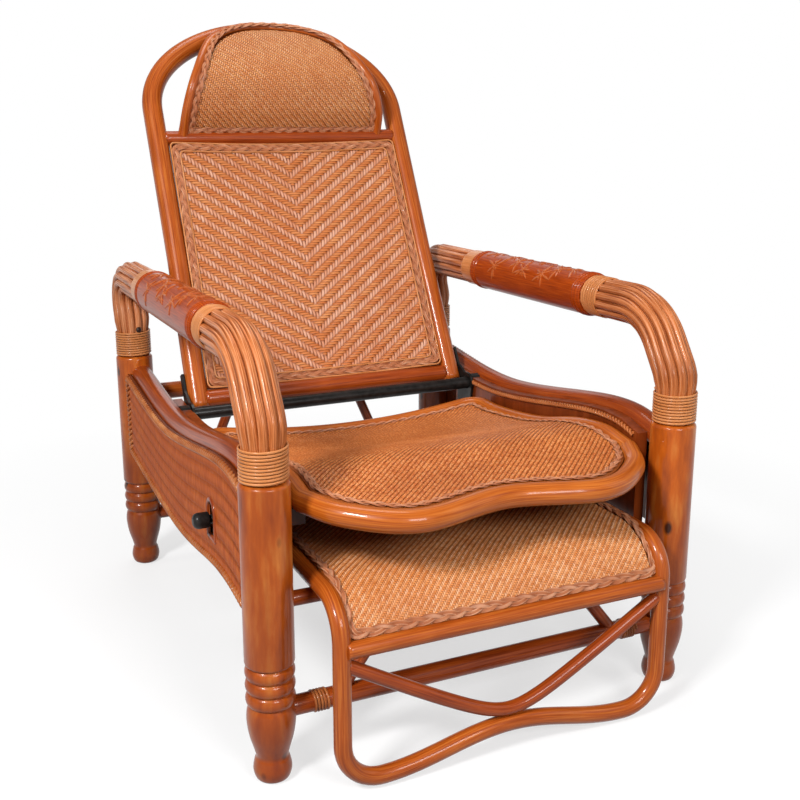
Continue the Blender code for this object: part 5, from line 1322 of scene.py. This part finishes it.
x = np.linspace(-FOOT_HALF + 4 * MM, FOOT_HALF - 4 * MM, 90)
v_low = FOOT_LOW + FOOT_HUMP + FOOT_R + V_R
spread = math.hypot(FOOT_HALF, V_ROUND) - V_ROUND
path = along_x(x, FOOT_Y, v_low)
path[:, 2] += (V_TOP - v_low) * (np.hypot(x, V_ROUND) - V_ROUND) / spread
cane("footrest_brace_cane", path, V_R, DARK_AND_SHADED_CANE, "footrest", ("footrest_brace",), 20)
for name, y, z, radius in FOOT_BARS:
    cane(f"{name}_cane", along_x(x, y, z), radius, CANE, "footrest", (name,), 20)

# %% [markdown]
# The mat's section is a line, an arc over the front and a short drop to the bar. Strands are laid by
# length along it, from the bar upwards and back, so that they keep their size round the bend.

# %% Weave the footrest
FOOT_PITCH, FOOT_WALL, FOOT_MAT_BEND = 0.0025, 4.5 * MM, 82.5 * MM
FOOT_PLAIT, FOOT_PLAIT_RISE = (7.2 * MM, 2.8 * MM, 66 * MM), 2 * MM
MAT_X = FOOT_HALF - FOOT_R - 0.9 * MM
MAT_TOP = FOOT_Z + CROSS_R + 0.3 * MM + FOOT_WALL
drop = math.asin((BAR_Z + 4 * MM - (MAT_TOP - FOOT_MAT_BEND)) / FOOT_MAT_BEND)
a = np.linspace(drop, np.pi / 2, 60)
arc = np.stack([BAR_Y + FOOT_MAT_BEND * (1 - np.cos(a)), MAT_TOP - FOOT_MAT_BEND * (1 - np.sin(a))], -1)
section = respace(np.concatenate([arc, [(FOOT_REAR, MAT_TOP)]]), 4 * MM)
section_at = run(section)
section_dir = unit(np.gradient(section, axis=0))


def on_foot(x, v, h):
    """A point of the footrest mat from across, length from the bar and height along the normal (-dz, dy)."""
    y, z, dy, dz = (np.interp(v, section_at, values) for values in (*section.T, *section_dir.T))
    return np.stack([x + 0 * v, y - dz * h, z + dy * h], -1)


# The ground sheet is dark as painted shade between the strips.
x = np.linspace(-MAT_X - 6 * MM, MAT_X + 6 * MM, 24)
ground = sheet(on_foot, x[None], section_at[:, None], -GROUND_DROP, -FOOT_WALL + 0.4 * MM)
build("footrest_mat_ground", ground, WARM_SHADE_GROUND, "footrest", ("footrest_mat",))

ci, ri = table(int(2 * MAT_X / FOOT_PITCH), int(section_at[-1] / FOOT_PITCH))
FOOT_X0 = -len(ci) * FOOT_PITCH / 2
inside = (np.abs(FOOT_X0 + (ci + 0.5) * FOOT_PITCH) < MAT_X - 6 * MM) & (ri > 1)
weave("footrest_mat_weave", np.mod(ci - ri, 4) < 2, inside, (FOOT_PITCH, FOOT_PITCH), 0.9 * MM,
      lambda u, v, h: on_foot(FOOT_X0 + u, v, h), FOOT_WEAVE, "footrest", ("footrest_mat",),
      cuts=2, widths=(0.42, 0.44), shade=0.60)
right = np.array([(MAT_X + 1 * MM, section_at[-1] - 4 * MM), (MAT_X + 1 * MM, 13 * MM)])
corners = np.concatenate([right, (right * (-1.0, 1.0))[::-1]])
border = respace(rounded(corners, (10 * MM, 10 * MM), 6), PLAIT_RING)
line = on_foot(*border.T, FOOT_PLAIT_RISE)
edge_plait("footrest_mat_plait", line, on_foot(*border.T, FOOT_PLAIT_RISE + 10 * MM) - line, FOOT_PLAIT,
           "footrest", loop=False)

# %% [markdown]
# ## Steel and rubber
# The back turns on a black steel tube. A thin rod through both sides, with a rubber knob at each
# end, lifts the pawls. Blender's own cylinders would do for the tube and the rod, but the sweep that
# made the canes makes them too, and a changing radius rounds the ends of the knobs.

# %% Make the tube, the rod and the knobs
ROD_Y, ROD_Z = -0.198, 0.287
KNOB_R, KNOB_ROUND, KNOB_LIP = 11 * MM, 8 * MM, (1.5 * MM, 1 * MM)
for name, body in (("pivot_tube", "backrest"), ("lever_rod", "lever")):
    low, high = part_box(name)
    path = along_x(np.linspace(low.x, high.x, 40), (low.y + high.y) / 2 - SHIFT, (low.z + high.z) / 2)
    cane(f"{name}_steel", path, (high.z - low.z) / 2, STEEL, body, (name,))

a = np.linspace(0.0, np.pi / 2, 10)[:-1]
radius = np.concatenate([[KNOB_R - KNOB_LIP[1], KNOB_R], KNOB_R - KNOB_ROUND * (1 - np.cos(a))])
for side, sign in SIDES:
    low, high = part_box(f"knob_{side}")
    inner, outer = sorted((abs(low.x), abs(high.x)))
    x = np.concatenate([[inner, inner + KNOB_LIP[0]], outer - KNOB_ROUND * (1 - np.sin(a))])
    cane(f"knob_{side}_rubber", along_x(sign * x, ROD_Y, ROD_Z), radius, RUBBER, "lever",
         (f"knob_{side}",), 32, Z_AXIS)

# %% [markdown]
# Brackets, bars, pins and bushes are cut from steel, and the boards are sawn from wood. They could be
# built again here, but a flat plate is already right in the CAD model. So each of those nodes stays
# and only gets a material.

# %% Finish the plates that keep their CAD shape
# The boards and the bearer take wood darkened as painted shade.
KEPT = {"side_board": (SHADED_BOARD, "board_wood"), "seat_bearer": (SHADED_BEARER, "board_wood"),
        "footrest_runner": (SHADED_BOARD, "board_wood"), "back_bracket": (STEEL, "black_steel"),
        "lever_bar": (STEEL, "black_steel"), "lever_pin": (STEEL, "black_steel"),
        "pivot_bush": (STEEL, "black_steel")}
for stem, (material, slot) in KEPT.items():
    for side, _ in SIDES:
        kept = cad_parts[f"{stem}_{side}"]
        kept.data.materials.clear()
        kept.data.materials.append(material)
print("CAD nodes kept:", 2 * len(KEPT))

# %% [markdown]
# ## Floor and world
# The chair stands on a wide white floor that runs into a white world, as in a catalogue cut-out. A
# plain white floor bright enough to vanish would also light the chair from below. So the floor and
# the world are white for the camera and in reflections, and darker for the light they give.

# %% Lay the floor and set the world
FLOOR_HALF, FLOOR_SPECK = 8.0, 1 / 3
SHADOW_NEAR, SHADOW_FAR, SHADOW_LIFT = 0.4, 1.3, 0.62
AMBIENT, HIGH_GLOSS = 0.24, 0.30


def seen(tree):
    """One for camera and glossy rays, which show the white background, and zero for light that falls."""
    rays = node(tree, "LightPath").node.outputs
    return node(tree, "Math", {0: rays["Is Camera Ray"], 1: rays["Is Glossy Ray"]}, operation="MAXIMUM")


def plain_white(name, code):
    """A white that keeps the shadow round the chair and fades into plain white 1.3 m away."""
    material, tree, shader, _, place = start(name)
    speck = node(tree, "ValToRGB", {"Fac": grains(tree, place, (FLOOR_SPECK,) * 3, 2.0)},
                 stops=((0.3, code), (0.7, "#FFFFFF")))
    base = node(tree, "MixRGB", {"Fac": seen(tree), "Color1": colour("#5C5856"), "Color2": speck})
    tree.links.new(base, shader.inputs["Base Color"])
    shader.inputs["Roughness"].default_value = 0.9
    shader.inputs["Specular IOR Level"].default_value = 0.1
    away = node(tree, "VectorMath", {0: place}, "Value", operation="LENGTH")
    far = node(tree, "MapRange", {"Value": away, "From Min": SHADOW_NEAR, "From Max": SHADOW_FAR,
                                  "To Min": SHADOW_LIFT})
    far = node(tree, "Math", {0: far, 1: seen(tree)}, operation="MULTIPLY")
    glow = node(tree, "Emission", {"Color": colour("#FFFFFF")})
    both = node(tree, "MixShader", {0: far, 1: shader.outputs[0], 2: glow})
    tree.links.new(both, tree.nodes["Material Output"].inputs["Surface"])
    return material


floor_mesh = bpy.data.meshes.new("floor")
corners = np.array([(-1, -1, 0), (1, -1, 0), (1, 1, 0), (-1, 1, 0)]) * FLOOR_HALF
floor_mesh.from_pydata(corners.tolist(), [], [(0, 1, 2, 3)])
floor_mesh.materials.append(plain_white("white studio floor", "#FBFBFB"))
floor = bpy.data.objects.new("floor", floor_mesh)
bpy.context.collection.objects.link(floor)

world = bpy.data.worlds.new("white studio")
bpy.context.scene.world = world
world.use_nodes = True
sky = world.node_tree
up = node(sky, "SeparateXYZ", {0: node(sky, "TexCoord", out="Generated")}, "Z")
band = node(sky, "MapRange", {"Value": up, "From Min": 0.11, "From Max": 0.17, "To Min": 1.0,
                              "To Max": HIGH_GLOSS})
rays = node(sky, "LightPath").node.outputs
shown = node(sky, "Math", {0: rays["Is Camera Ray"], 1: 1.0 - AMBIENT}, operation="MULTIPLY")
gloss = node(sky, "Math", {0: band, 1: AMBIENT}, operation="SUBTRACT")
gloss = node(sky, "Math", {0: rays["Is Glossy Ray"], 1: gloss, 2: AMBIENT}, operation="MULTIPLY_ADD")
strength = node(sky, "Math", {0: shown, 1: gloss}, operation="ADD")
sky.nodes["Background"].inputs["Color"].default_value = colour("#FFFFFF")
sky.links.new(strength, sky.nodes["Background"].inputs["Strength"])
print("floor:", 2 * FLOOR_HALF, "m wide, ambient light", AMBIENT)

# %% [markdown]
# ## Lights and camera
# A soft light from the upper left front makes the long highlights on the lacquer, and weaker ones
# fill the front, the right side, the top and the back. A picture of a studio as the world could
# light the chair too, but five lamps can be set one by one.

# %% Light the chair
LAMPS = (("key", (-2.0, -1.5, 2.2), (0.0, 0.0, 0.4), (0.50, 0.50), 84.0),
         ("front", (0.1, -2.5, 1.5), (0.0, 0.0, 0.35), (0.9, 0.6), 32.0),
         ("fill", (2.2, -1.4, 1.6), (0.0, 0.0, 0.4), (1.4, 2.0), 9.0),
         ("top", (0.1, 0.6, 2.6), (0.0, 0.1, 0.3), (1.0, 0.7), 14.0),
         ("back", (0.8, 2.6, 1.4), (0.0, 0.0, 0.4), (1.5, 1.0), 6.0))


def aimed(place, aim):
    """Give the Euler angles that turn -Z of a lamp from its place towards a point."""
    x, y, z = np.array(aim, float) - np.array(place, float)
    return (math.acos(-z / math.sqrt(x * x + y * y + z * z)), 0.0, math.atan2(y, x) - math.pi / 2)


for name, place, aim, size, power in LAMPS:
    lamp = bpy.data.lights.new(name, "AREA")
    lamp.shape, lamp.energy = "RECTANGLE", power
    lamp.size, lamp.size_y = size
    lamp_object = bpy.data.objects.new(name, lamp)
    lamp_object.location, lamp_object.rotation_euler = place, aimed(place, aim)
    bpy.context.collection.objects.link(lamp_object)
print("lamps:", len(LAMPS))

# %% [markdown]
# The camera was fitted to the photograph. It looks down by 14 degrees and is turned 24.7 degrees,
# with the lens and shift that put the chair where the photograph has it.

# %% Place the camera and finish
CAMERA_PLACE, CAMERA_DOWN, CAMERA_TURN = (-0.6652, -1.5477 + SHIFT, 0.8202), 13.99, -24.70
camera_data = bpy.data.cameras.new("photo camera")
camera_data.lens, camera_data.sensor_width = 48.99, 36.0
camera_data.shift_x, camera_data.shift_y = 0.0025, -0.024875
camera = bpy.data.objects.new("photo camera", camera_data)
bpy.context.collection.objects.link(camera)
camera.location = CAMERA_PLACE
camera.rotation_euler = (math.pi / 2 - math.radians(CAMERA_DOWN), 0.0, math.radians(CAMERA_TURN))
bpy.context.scene.camera = camera
bpy.context.scene.view_settings.view_transform = "Standard"
